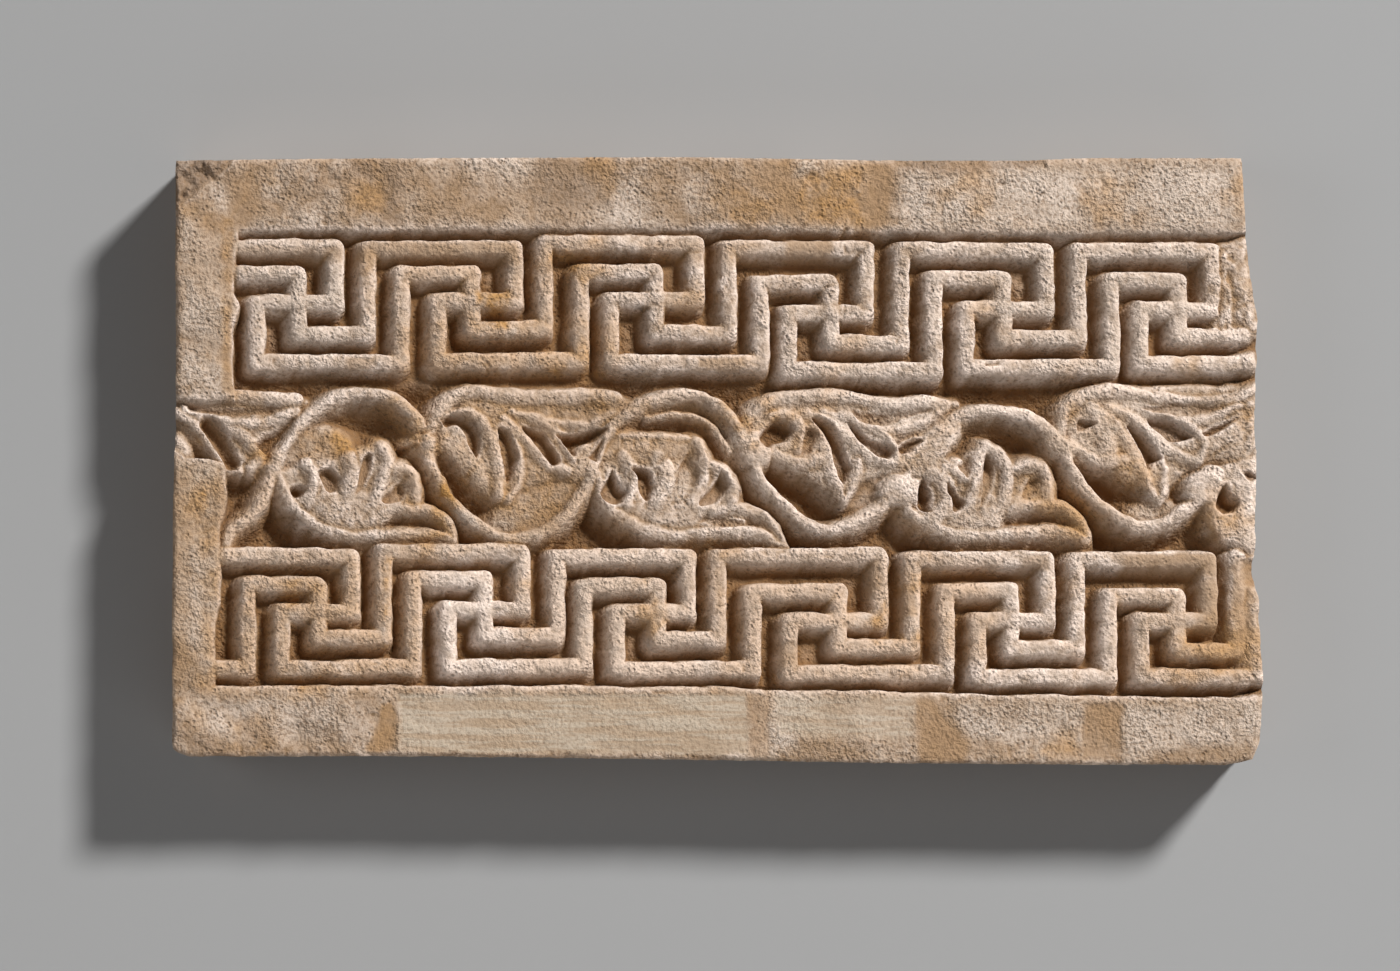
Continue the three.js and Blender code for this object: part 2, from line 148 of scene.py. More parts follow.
# leaf forms as (kind, height, slope, half width, line or outline), laid on in this order
leaves = {
    "arches": [
        ("cove", -4.5, 1.05, None, [(-396.5, 4.5), (-382.5, 32), (-364.5, 50.5), (-341.5, 61.5),
            (-318.5, 63.5), (-295.5, 60), (-279.5, 48), (-268.5, 32), (-272.5, 18.5)]),
        ("cove", -4.5, 0.98, None, [(-106.5, 4.5), (-99.5, 20), (-86.5, 41.5), (-65.5, 53.5), (-44, 61.5),
            (-24, 63.5), (-5.5, 58), (11, 48), (22, 32), (26.5, 14)]),
        ("cove", -5.5, 1.05, None, [(201.5, 9), (215.5, 32), (229, 43), (247.5, 48), (270.5, 47),
            (293.5, 41.5), (309, 29.5), (316.5, 14)]),
        ("rib", -2.5, 2.1, [3, 3.5, 4.5, 4.5, 4.5, 4.5, 4.5, 4.5], [(-398.5, 7.5), (-384.5, 31.5),
            (-365, 49.5), (-341.5, 60), (-318.5, 62.5), (-295.5, 59), (-280.5, 48), (-270.5, 33)]),
        ("rib", -2.5, 2.1, [3, 3.5, 4.5, 4.5, 4.5, 4.5, 5.5, 5.5, 5.5], [(-103, 13), (-86.5, 40.5),
            (-65.5, 53.5), (-44, 60.5), (-24, 62.5), (-5.5, 58), (10, 48), (21, 33), (26, 18.5)]),
        ("rib", -7.5, 1.96, [1.5, 2, 2, 2, 2], [(-59, 45), (-33, 48), (-12, 44), (3.5, 33), (16.5, 13)]),
        ("rib", -2.5, 2.1, [5.5, 6.5, 5.5, 4.5, 4.5, 5.5, 5.5, 5.5], [(206, 18.5), (216, 33), (230, 43),
            (247.5, 48), (270.5, 47), (292.5, 41.5), (307.5, 30.5), (314.5, 17.5)]),
        ("plate", -10, 0.87, None, [(-397.5, 2), (-384.5, 29.5), (-359.5, 33), (-335, 22), (-341.5, 3.5)]),
        ("plate", -5.5, 1.45, None, [(-103, 7.5), (-86.5, 29.5), (-56, 27.5), (-22, 23), (-14.5, 16.5),
            (-42.5, 3.5)]),
        ("plate", -3, 1.59, None, [(174, -20), (186, 4.5), (198.5, 26), (213.5, 37), (226.5, 33),
            (215.5, 13), (206, -9)]),
    ],
    "hangingCut": [
        ("plate", -8.5, 1.5, None, [(-500.5, 59), (-382.5, 60.5), (-377, 53.5), (-385.5, 38.5), (-417.5, 9),
            (-423, -5.5), (-438, -7.5), (-461, 11), (-484, 26), (-500.5, 37)]),
        ("rib", -2, 2.24, [3.5, 4.5, 5.5, 6.5], [(-502.5, 59), (-461, 60), (-419.5, 60), (-384.5, 58)]),
        ("rib", -2.5, 2.1, [3, 3.5, 4.5, 4.5, 4.5], [(-489.5, 48), (-456.5, 39.5), (-428.5, 36),
            (-405.5, 39.5), (-384.5, 49.5)]),
        ("rib", -2.5, 1.96, [3.5, 4.5, 4.5, 4.5, 3.5, 2], [(-498.5, 45), (-480, 36), (-463.5, 24),
            (-453.5, 10), (-447, -1), (-435, -6.5)]),
        ("rib", -2.5, 1.96, [4.5, 5.5, 5.5, 4.5, 3], [(-449, 37), (-433.5, 26), (-421.5, 14.5), (-417, 4.5),
            (-425, -4.5)]),
        ("eye", -19.5, 2.1, [1.5, 3, 3], [(-466.5, 37.5), (-451, 19.5), (-440, 1)]),
        ("eye", -13.5, 2.1, [1, 2, 1.5], [(-482, 50.5), (-445.5, 47), (-405.5, 49)]),
        ("scoop", -20, 2.18, 0, [(-421.5, 16.5), (-414, 27.5), (-398.5, 36), (-382.5, 45), (-387.5, 29.5),
            (-398.5, 13), (-410.5, 6.5)]),
    ],
    "hangingOne": [
        ("plate", -7, 1.5, None, [(-254, 41.5), (-240, 59), (-217, 68), (-83.5, 62.5), (-83.5, 37),
            (-125, 26), (-129.5, -4.5), (-143.5, -11), (-175.5, -23), (-194, -35), (-226.5, -9),
            (-246.5, 18.5)]),
        ("rib", -2, 2.1, [3.5, 4.5, 5.5, 5.5, 6.5, 6.5, 6.5, 7.5], [(-259.5, 33), (-253, 47), (-240, 60),
            (-221.5, 65.5), (-189.5, 61.5), (-152.5, 59), (-111.5, 60), (-90, 57)]),
        ("rib", -2.5, 1.96, [3.5, 4.5, 3.5, 3.5, 4.5], [(-185, 47), (-162, 40.5), (-136, 36), (-108.5, 37),
            (-91, 48)]),
        ("rib", -2, 1.96, [2, 3, 3.5, 4.5, 4.5, 4.5, 3], [(-246.5, 39.5), (-232, 48), (-217, 43),
            (-206, 27.5), (-200.5, 9), (-197, -11), (-197, -29.5)]),
        ("rib", -5.5, 1.26, [3.5, 7.5, 8.5, 4.5], [(-246.5, 18.5), (-233.5, 13), (-221, 2),
            (-211.5, -16.5)]),
        ("rib", -2.5, 1.96, [3.5, 3.5, 3.5, 3.5, 2], [(-194, 35), (-181, 14.5), (-177.5, -3.5),
            (-180.5, -20), (-188.5, -34)]),
        ("rib", -2, 1.96, [4.5, 4.5, 5.5, 3.5], [(-191.5, 40.5), (-175, 21), (-155.5, 2), (-133.5, -6.5)]),
        ("rib", -2, 1.96, [4.5, 4.5, 4.5, 3.5], [(-166.5, 41.5), (-147, 30.5), (-135, 15.5), (-129.5, 3)]),
        ("plate", -10, 1.01, None, [(-194, -37), (-166.5, -20), (-127, -16.5), (-129.5, -37), (-148, -55),
            (-175.5, -66), (-200.5, -62.5)]),
        ("plate", -5.5, 1.3, None, [(-129.5, 11), (-111.5, 18.5), (-102, 9), (-110.5, -14), (-129.5, -11)]),
        ("scoop", -16, 2.3, 0, [(-253, 41.5), (-244.5, 46), (-231, 46), (-219, 39.5), (-212.5, 27.5),
            (-211.5, 13), (-217, 3.5), (-222.5, 11), (-226.5, 18.5), (-229, 27.5), (-235.5, 34),
            (-244.5, 32)]),
        ("scoop", -15, 2.53, 0, [(-198.5, 33), (-188.5, 30.5), (-183, 18.5), (-178.5, 4.5), (-181, -6.5),
            (-187.5, -20), (-191.5, -14.5), (-194, 2), (-197, 18.5)]),
        ("scoop", -16, 2.53, 0, [(-178.5, 36), (-169.5, 34), (-156.5, 29.5), (-148, 21), (-141.5, 11),
            (-139, 1), (-147, -3.5), (-154.5, 3.5), (-162, 13), (-171, 24)]),
        ("scoop", -22.5, 2.99, 0, [(-144.5, 26), (-134.5, 28.5), (-116, 31.5), (-101, 33), (-96.5, 29.5),
            (-106.5, 20), (-120.5, 15.5), (-128, 6.5), (-133.5, 11), (-140, 20)]),
        ("scoop", -12, 2.3, 0, [(-115, 6.5), (-108.5, 14), (-101, 22), (-103, 9), (-106.5, 1)]),
    ],
    "hangingTwo": [
        ("plate", -7, 1.5, None, [(33, 32), (49.5, 57), (215.5, 59), (217, 48), (197, 32), (167.5, 22),
            (169.5, -2), (134.5, -18.5), (121.5, -37), (97.5, -14), (54.5, 7.5), (38.5, 18.5)]),
        ("rib", -2, 2.1, [3.5, 4.5, 5.5, 5.5, 5.5, 5.5, 4.5, 4.5, 5.5, 5.5], [(27.5, 27.5), (33, 40.5),
            (43, 50.5), (59, 58), (86.5, 60.5), (116, 61.5), (141.5, 58), (169.5, 54.5), (195, 56),
            (212.5, 52.5)]),
        ("rib", -2.5, 1.96, [3, 3.5, 3.5, 3.5, 3.5, 3.5], [(101, 47), (126, 38.5), (151, 32), (174, 32),
            (195, 38.5), (210.5, 47)]),
        ("rib", -2, 1.96, [3, 3.5, 4.5, 4.5, 3.5], [(51.5, 43), (66, 46), (77.5, 38.5), (82, 26),
            (79, 13)]),
        ("rib", -3, 1.82, [3, 4.5, 5.5, 5.5], [(57, 10), (68, 4.5), (83, 1), (97.5, 4.5)]),
        ("rib", -2.5, 1.96, [3.5, 4.5, 5.5, 5.5, 2], [(94, 33), (102, 18.5), (107.5, 0), (114, -18.5),
            (121.5, -33)]),
        ("rib", -2.5, 1.96, [3.5, 4.5, 3.5, 2], [(134.5, 2), (133.5, -11), (128, -24), (122.5, -33)]),
        ("rib", -2, 1.96, [3.5, 4.5, 5.5, 5.5, 3.5], [(88.5, 46), (110.5, 37), (126, 22), (144.5, 6.5),
            (165.5, -2)]),
        ("rib", -2, 1.96, [3.5, 3.5, 3.5, 4.5, 3.5], [(118.5, 44), (143.5, 36), (160, 25), (166.5, 13),
            (167.5, 2)]),
        ("plate", -13, 0.87, None, [(125, -37), (138, -9), (160, -5.5), (162, -24), (143.5, -38.5)]),
        ("plate", -3.5, 1.5, None, [(162, -9), (169.5, 11), (201.5, 27.5), (210.5, 18.5), (192.5, -9)]),
        ("plate", -0.5, 2.17, None, [(25, 18.5), (31.5, 26.5), (40.5, 27.5), (48, 20), (51.5, 11), (48, 2),
            (38.5, -3), (29.5, 2)]),
        ("scoop", -19, 2.76, 0, [(41.5, 25), (49.5, 36), (60.5, 41.5), (72, 37.5), (76.5, 29.5), (71, 21),
            (61.5, 17.5), (51.5, 14.5), (44, 17.5)]),
        ("scoop", -13, 2.07, 0, [(84.5, 33), (91, 35), (98.5, 27.5), (95, 14), (88.5, 8.5), (81, 10),
            (82, 18.5)]),
        ("scoop", -16, 2.53, 0, [(90, 43), (97.5, 43), (110.5, 33), (118.5, 21), (126, 7.5), (130.5, -4.5),
            (124, -17.5), (118.5, -17.5), (114, -9), (110.5, 4.5), (106.5, 18.5), (100.5, 29.5)]),
        ("scoop", -14, 2.3, 0, [(120.5, 39.5), (132.5, 34), (147, 24), (161, 19.5), (168.5, 12),
            (164.5, 3.5), (155.5, 3.5), (146.5, 9), (135, 20)]),
        ("scoop", -11, 1.84, 0, [(126, 51.5), (151, 49), (174, 49.5), (202.5, 50.5), (192.5, 44),
            (174, 38.5), (158, 34), (141.5, 36), (130.5, 43)]),
        ("scoop", -16, 2.53, 0, [(170, 15.5), (176.5, 22), (186, 24), (194, 21), (187, 14), (180.5, 8.5),
            (173, 8.5)]),
    ],
    "hangingThree": [
        ("plate", -7, 1.5, None, [(324, 37), (339.5, 60.5), (364.5, 68), (502.5, 66), (502.5, 0),
            (477.5, 4.5), (450, 2), (416, -23), (408.5, -39.5), (390, -16.5), (339.5, 9)]),
        ("rib", -2, 2.1, [3.5, 4.5, 5.5, 5.5, 6.5, 5.5, 4.5, 4.5, 4.5, 4.5], [(320, 26), (322, 41.5),
            (329.5, 53.5), (344, 60.5), (364.5, 65.5), (382.5, 64.5), (404, 60.5), (431.5, 58), (459, 57),
            (500.5, 64.5)]),
        ("rib", -2.5, 1.96, [3, 3.5, 3.5, 3.5, 3.5], [(399.5, 48), (422.5, 42.5), (445.5, 38.5), (462, 43),
            (482, 52.5)]),
        ("rib", -3, 1.68, [4.5, 8.5, 10, 8.5], [(346, 53.5), (356, 40.5), (362.5, 26), (364.5, 11)]),
        ("rib", -3, 1.82, [3, 4.5, 5.5], [(336.5, 13), (353.5, 3.5), (382.5, 1)]),
        ("rib", -2.5, 1.96, [3.5, 4.5, 5.5, 5.5, 2], [(366, 40.5), (378, 22), (389, 0), (399.5, -16.5),
            (408.5, -33)]),
        ("rib", -2.5, 1.96, [3.5, 3.5, 3.5, 2], [(408.5, 11), (416, -5.5), (416, -22), (411, -35)]),
        ("rib", -2, 1.96, [3.5, 4.5, 5.5, 5.5, 3.5], [(364.5, 50.5), (388, 38.5), (406.5, 22), (425, 8.5),
            (445.5, 3.5)]),
        ("rib", -2, 1.96, [3, 3.5, 3.5, 3.5, 3.5], [(406.5, 46), (432.5, 37.5), (449, 27.5), (453.5, 16.5),
            (448, 3.5)]),
        ("rib", -4.5, 1.26, [7.5, 9, 9], [(459, 18.5), (474.5, 27.5), (502.5, 29.5)]),
        ("plate", -11, 1.01, None, [(382.5, -48), (399.5, -35), (423, -33), (427, -44), (399.5, -53.5)]),
        ("scoop", -13, 2.53, 0, [(334, 35), (337.5, 42.5), (346, 39.5), (352.5, 34), (344, 29.5),
            (336, 28.5)]),
        ("scoop", -16, 2.53, 0, [(379, 37), (387.5, 33), (397.5, 26), (406.5, 14), (414, 4.5), (406.5, -2),
            (401, -7.5), (396.5, 3.5), (389, 17.5), (381, 30.5)]),
        ("scoop", -15, 2.53, 0, [(398.5, 41.5), (408.5, 42.5), (423, 39.5), (437, 33), (444.5, 25),
            (432.5, 19.5), (421.5, 19.5), (412, 26.5), (403, 34)]),
        ("scoop", -9.5, 1.84, 0, [(379, 54.5), (399.5, 51.5), (427, 54.5), (459, 53.5), (470, 50.5),
            (454.5, 45), (436, 42.5), (417.5, 44), (399.5, 47)]),
        ("scoop", -14, 2.76, 0, [(451, 28.5), (459, 34), (473, 39.5), (484, 42.5), (473, 32), (462, 26.5),
            (453.5, 25)]),
    ],
    "standingOne": [
        ("plate", -7.5, 1.59, None, [(-399.5, -5.5), (-385.5, -3), (-379, 3), (-366, 4.5), (-346, 6.5),
            (-332, 11), (-321, 15.5), (-305.5, 16.5), (-297, 12), (-296, -2), (-279.5, -3.5),
            (-272.5, -14.5), (-271.5, -33), (-274, -42.5), (-290.5, -46), (-298, -52.5), (-303.5, -59),
            (-290.5, -70), (-313.5, -69), (-341.5, -68), (-362.5, -62.5), (-377, -51.5), (-389, -39.5),
            (-395.5, -27.5), (-400, -16.5)]),
        ("plate", -4, 2.17, None, [(-382.5, -37), (-368, -27.5), (-336.5, -25), (-309, -26.5), (-287, -34),
            (-296, -49.5), (-303.5, -57), (-338.5, -61.5), (-359, -56), (-374.5, -46)]),
        ("rib", -2.5, 1.68, [3, 3, 3.5, 3.5, 3.5, 3.5, 3.5, 3.5, 3.5, 2], [(-399.5, -13), (-394.5, -26.5),
            (-386.5, -39.5), (-373.5, -51.5), (-357, -60.5), (-336.5, -65.5), (-304.5, -65.5),
            (-272.5, -64.5), (-252, -66), (-241, -71)]),
        ("rib", -2.5, 1.82, [3.5, 3.5, 4.5, 4.5, 3.5, 2], [(-304.5, -45), (-286, -41.5), (-265, -43),
            (-250, -50.5), (-242, -60.5), (-238.5, -71)]),
        ("rib", -1, 1.4, 3.5, [(-374.5, -2), (-369, -13), (-369, -26), (-371.5, -38.5)]),
        ("rib", -1, 1.4, [4.5, 5.5, 5.5], [(-335, 3.5), (-333, -9), (-336.5, -27.5)]),
        ("rib", -1, 1.4, [3, 3.5, 4.5, 4.5], [(-303.5, 12), (-300, 0), (-305.5, -20), (-313.5, -35)]),
        ("rib", -1, 1.4, 3, [(-292.5, -6.5), (-280.5, -7.5), (-275, -18.5), (-275, -33)]),
        ("scoop", -19.5, 2.53, 0.2, [(-391, -22), (-385.5, -18.5), (-378, -19.5), (-373.5, -25),
            (-375.5, -31.5), (-381, -34), (-387.5, -30.5)]),
        ("scoop", -17, 2.3, 0.2, [(-364.5, -9), (-359, -3.5), (-351.5, -2), (-345, -6.5), (-342, -14.5),
            (-345, -24), (-350.5, -28.5), (-356, -26.5), (-359, -18.5)]),
        ("scoop", -16, 2.53, 0.2, [(-322, 7.5), (-316.5, 13), (-311, 10), (-312, 0), (-314.5, -11),
            (-320, -21), (-327.5, -28.5), (-327.5, -18.5), (-325, -5.5)]),
        ("scoop", -16, 2.3, 0.2, [(-291.5, -16.5), (-284.5, -14), (-281.5, -23), (-285, -35),
            (-292.5, -37.5), (-302, -37.5), (-305.5, -34), (-299, -26)]),
        ("scoop", -15, 2.76, 0.2, [(-305.5, -54.5), (-290.5, -48), (-272.5, -48), (-254, -54.5),
            (-245.5, -63.5), (-254, -61.5), (-267.5, -58), (-286, -58), (-302, -58)]),
    ],
    "standingTwo": [
        ("plate", -7.5, 1.59, None, [(-106.5, -13), (-101, 2), (-86.5, 9), (-65.5, 12), (-44, 10),
            (-24, 18.5), (-17.5, 24), (-11, 13), (-5.5, 0), (10, -5.5), (17.5, -17.5), (20, -37),
            (17.5, -43), (-1, -46), (-10, -51.5), (-13, -60.5), (-24, -68), (-51.5, -68), (-70, -62.5),
            (-86.5, -49.5), (-98.5, -37), (-106, -24)]),
        ("plate", -4, 2.17, None, [(-92, -37), (-75.5, -28.5), (-48, -26.5), (-16.5, -26.5), (7.5, -34),
            (-11, -49.5), (-24, -60.5), (-55, -60.5), (-79, -48)]),
        ("rib", -2.5, 1.68, [3, 3, 3.5, 4.5, 4.5, 4.5, 3.5, 3.5, 3.5, 2], [(-106, -14.5), (-102, -26.5),
            (-94, -39.5), (-78, -52.5), (-60.5, -61.5), (-40.5, -65.5), (-14.5, -63.5), (17.5, -61.5),
            (42.5, -65.5), (62.5, -75.5)]),
        ("rib", -2.5, 1.82, [3.5, 4.5, 4.5, 3.5, 2], [(-1, -43), (22, -41.5), (42.5, -47), (55, -57),
            (65.5, -75.5)]),
        ("rib", -1, 1.4, [3, 3.5, 3.5, 3.5], [(-82, 7.5), (-75.5, -5.5), (-74.5, -24), (-77.5, -38.5)]),
        ("rib", -1, 1.4, [3.5, 4.5, 5.5, 5.5], [(-51.5, 7.5), (-42.5, -5.5), (-44, -22), (-51.5, -38.5)]),
        ("rib", -1, 1.4, [3, 3.5, 3.5, 3.5], [(-15.5, 18.5), (-9, 2), (-11, -16.5), (-20, -37)]),
        ("rib", -1, 1.4, 3, [(-3.5, -3.5), (10, -8.5), (17.5, -22), (16.5, -37)]),
        ("rib", -3, 1.96, [3, 3, 2], [(-83.5, 26), (-56, 25), (-22, 23)]),
        ("rib", -4.5, 2.24, [1, 2, 1], [(-11, -54.5), (13, -51.5), (29.5, -51.5)]),
        ("scoop", -20.5, 2.53, 0.2, [(-105, -26), (-100.5, -16.5), (-95.5, -8.5), (-91, -3.5), (-86.5, -11),
            (-82, -22), (-78, -27.5), (-81, -33), (-86.5, -37.5), (-94, -37.5), (-101, -33)]),
        ("scoop", -19.5, 2.53, 0.2, [(-76.5, -5.5), (-70, -1), (-62.5, -1), (-55, -6.5), (-52.5, -14.5),
            (-53.5, -25), (-58, -35), (-62.5, -35), (-67, -29.5), (-69, -20), (-71, -13)]),
        ("scoop", -15, 1.84, 0.2, [(-22, 14), (-17.5, 4.5), (-14, -9), (-15.5, -18.5), (-22, -25),
            (-30.5, -32), (-34, -28.5), (-34, -14), (-31.5, -2), (-26.5, 7.5)]),
        ("scoop", -17, 2.3, 0.2, [(5.5, -8.5), (11, -12), (14, -20), (12, -27.5), (5.5, -35), (-3.5, -38.5),
            (-12, -39.5), (-13, -34), (-6.5, -25), (0, -15.5)]),
        ("scoop", -11.5, 2.3, 0, [(-11, -54.5), (3.5, -46), (22, -49.5), (37, -57), (22, -59), (3.5, -57)]),
        ("scoop", -8, 1.15, 0, [(-56, 0), (-48, 6.5), (-38.5, 10), (-43, 2), (-50.5, -3.5)]),
    ],
    "standingThree": [
        ("plate", -7.5, 1.59, None, [(175, -27.5), (189.5, -13), (206, -5.5), (222.5, -3.5), (233.5, -9),
            (239, 5.5), (246.5, 16.5), (255, 18.5), (264, 10), (271.5, -2), (289, 0), (303.5, -1),
            (310, -14.5), (311, -34), (298, -42.5), (272.5, -46), (268.5, -55), (261.5, -66), (229, -69),
            (206, -63.5), (188.5, -52.5), (179.5, -39.5)]),
        ("plate", -4, 2.17, None, [(189.5, -43), (211.5, -36), (239, -30.5), (268.5, -28.5), (296, -34),
            (270.5, -45), (261.5, -60.5), (226.5, -61.5), (203.5, -53.5)]),
        ("rib", -2.5, 1.68, [3, 3, 3.5, 4.5, 4.5, 3.5, 3.5, 3.5, 2], [(176.5, -30.5), (180.5, -41.5),
            (190.5, -51.5), (208, -60.5), (232, -66), (261.5, -65.5), (298, -62.5), (325.5, -64.5),
            (342, -71)]),
        ("rib", -2.5, 1.82, [3.5, 3.5, 4.5, 4.5, 3.5, 2], [(275, -40.5), (298, -37.5), (318.5, -39.5),
            (331, -47), (339.5, -57), (345, -70)]),
        ("rib", -1.5, 1.43, [4, 5.5, 5.5, 5.5, 5.5, 4], [(197, -10), (209, -14.5), (215.5, -26),
            (214.5, -38.5), (206, -48), (197, -52.5)]),
        ("rib", -1.5, 1.43, [5.5, 6.5, 4], [(213.5, -4.5), (224.5, -5.5), (233.5, -14)]),
        ("rib", -1, 1.54, [3.5, 3.5, 4.5, 3.5], [(237.5, -37), (241, -16.5), (244, 2), (251, 13)]),
        ("rib", -1, 1.54, [3.5, 4.5, 3.5, 4.5], [(253, 14), (264, 6.5), (271.5, -9), (268.5, -35)]),
        ("rib", -1, 1.4, 3, [(276, -6.5), (290.5, -3.5), (302.5, -5.5), (307.5, -18.5), (307.5, -32)]),
        ("plate", 0, 2.17, None, [(156.5, -20), (164.5, -14), (176.5, -13), (187.5, -17.5), (192.5, -26),
            (189.5, -35), (176.5, -37.5), (163, -36), (154.5, -29.5)]),
        ("scoop", -22, 2.76, 0.2, [(189.5, -19.5), (194, -14), (200.5, -22), (204, -29.5), (201.5, -38.5),
            (200.5, -45), (193, -44), (187.5, -37.5), (188.5, -27.5)]),
        ("scoop", -17, 2.53, 0.2, [(214.5, -19.5), (220, -22), (227, -28.5), (233, -35), (231, -41.5),
            (222.5, -44), (220, -35), (216, -27.5)]),
        ("scoop", -14, 1.84, 0.2, [(223.5, -3), (233.5, 7.5), (240, 12), (238.5, 0), (234.5, -14),
            (228, -10)]),
        ("scoop", -17, 2.3, 0.2, [(251, 8.5), (258.5, 3), (262, -9), (258.5, -23), (250, -36), (245.5, -43),
            (247.5, -27.5), (248.5, -9)]),
        ("scoop", -14, 1.95, 0.2, [(293.5, -10), (302, -12), (301, -23), (294.5, -32), (286, -32),
            (285, -25), (289, -16.5)]),
        ("scoop", -16, 2.53, 0.2, [(269.5, -56), (279.5, -47), (298, -45), (316.5, -49), (328.5, -57),
            (316.5, -58), (298, -56), (279.5, -58)]),
    ],
    "standingCut": [
        ("plate", -4, 1.89, None, [(451.5, -27.5), (456.5, -9), (468.5, -3.5), (502.5, -2), (502.5, -83),
            (482, -76.5), (466.5, -63.5), (458, -47)]),
        ("rib", -2.5, 1.68, [3.5, 4.5, 5.5, 5.5, 5.5], [(457, -27.5), (462, -44), (468.5, -60), (481, -71),
            (498.5, -77.5)]),
        ("rib", -2, 1.82, [4.5, 3.5, 3.5, 4.5], [(481, -9), (489.5, -22), (490.5, -38.5), (483, -55)]),
        ("rib", -1, 1.82, [6.5, 5.5, 3.5], [(445.5, -18.5), (463.5, -9), (461, -33)]),
        ("plate", -0.5, 2.17, None, [(438, -22), (445.5, -13), (458, -9), (467.5, -13), (465.5, -26),
            (460, -35), (447, -37), (439, -33)]),
        ("scoop", -20.5, 2.76, 0.2, [(463.5, -37), (466.5, -26.5), (471, -19.5), (477.5, -26.5), (483, -37),
            (479.5, -45), (471, -47), (464.5, -43)]),
        ("scoop", -12.5, 2.3, 0.2, [(485, -10), (491.5, -8.5), (498.5, -16.5), (491.5, -19.5)]),
    ],
    "damage": [
        ("plate", -4.5, 1.2, None, [(-508, 22), (-489.5, 18.5), (-484, 0), (-508, -7.5)]),
        ("plate", -4.5, 1.6, None, box(464.5, 199.5, 502.5, 123.5)),
        ("eye", -8.5, 2.2, [1, 0.5, 1.5], [(466.5, 195), (467.5, 161), (465.5, 123.5)]),
        ("eye", -8.5, 1.4, [0.5, 0.5, 2.5], [(474.5, 176.5), (477.5, 156.5), (480, 127)]),
        ("rough", -0.5, 3.2, None, [(465.5, 197), (502.5, 197), (506, 119.5), (465.5, 123.5)]),
        ("rough", -3, 5.5, None, [(-508, 287), (-449, 287), (-451.5, 268.5), (-474.5, 251), (-493, 237.5),
            (-508, 228)]),
        ("rough", 0, 1.8, None, [(486.5, 119.5), (509.5, 119.5), (509.5, -9), (489.5, -9)]),
        ("rough", 0, 0.8, None, [(462, -88.5), (478.5, -88.5), (478.5, -165.5), (465.5, -165.5)]),
        ("plate", -1.5, 1.6, None, [(487.5, -92), (509.5, -92), (511.5, -184), (487.5, -184)]),
        ("rough", -0.5, 2.6, None, [(487.5, -92), (514.5, -92), (514.5, -211.5), (491.5, -211.5)]),
        ("rough", 0, 1.1, None, box(-428.5, 57, -254, -78)),
        ("rough", 0, 1.0, None, box(-116, 60, 40.5, -78)),
        ("rough", 0, 1.1, None, box(-254, 64.5, -116, 18.5)),
        ("rough", 0, 0.9, None, box(40.5, 60, 502.5, -81)),
        ("eye", -8.5, 0.9, [1.5, 2, 2], [(490.5, 193), (493, 161), (498.5, 130.5)]),
        ("eye", -7.5, 2.2, [0.5, 1, 0.5], [(250, 90), (259.5, 91), (265, 95)]),
        ("eye", -10, 2.4, [0.5, 1, 0.5], [(-277, 25), (-263, 29.5), (-248.5, 35)]),
        ("eye", -5.5, 2.4, [0.5, 0.5, 0.5], [(-200.5, -7.5), (-201.5, -20), (-199.5, -32)]),
        ("eye", -5, 1.8, [0.5, 1, 1, 0.5], [(-451, 270.5), (-463.5, 260.5), (-476.5, 249.5),
            (-493, 236.5)]),
        ("eye", -5.5, 1.2, [1, 2, 1], [(-489.5, 261.5), (-474.5, 265), (-462, 259.5)]),
        ("eye", -5.5, 0.8, [2, 3, 2], [(169.5, 275), (215.5, 276), (298, 275)]),
        ("eye", -2.5, 0.5, [3, 2], [(77.5, 261.5), (88.5, 259.5)]),
        ("eye", -3, 0.3, [7.5, 4.5], [(-465.5, -232), (-438, -235.5)]),
        ("eye", -3, 0.3, [7.5, 3.5], [(-382.5, -253), (-355, -257.5)]),
        ("eye", -13, 1.2, [3, 3], [(495, -97.5), (495, -108.5)]),
        ("eye", -4, 1.2, [1, 1], [(261.5, 51.5), (283.5, 51.5)]),
        ("eye", -6.5, 2.2, [0.5, 0.5], [(187.5, 33), (194, 38.5)]),
    ],
}

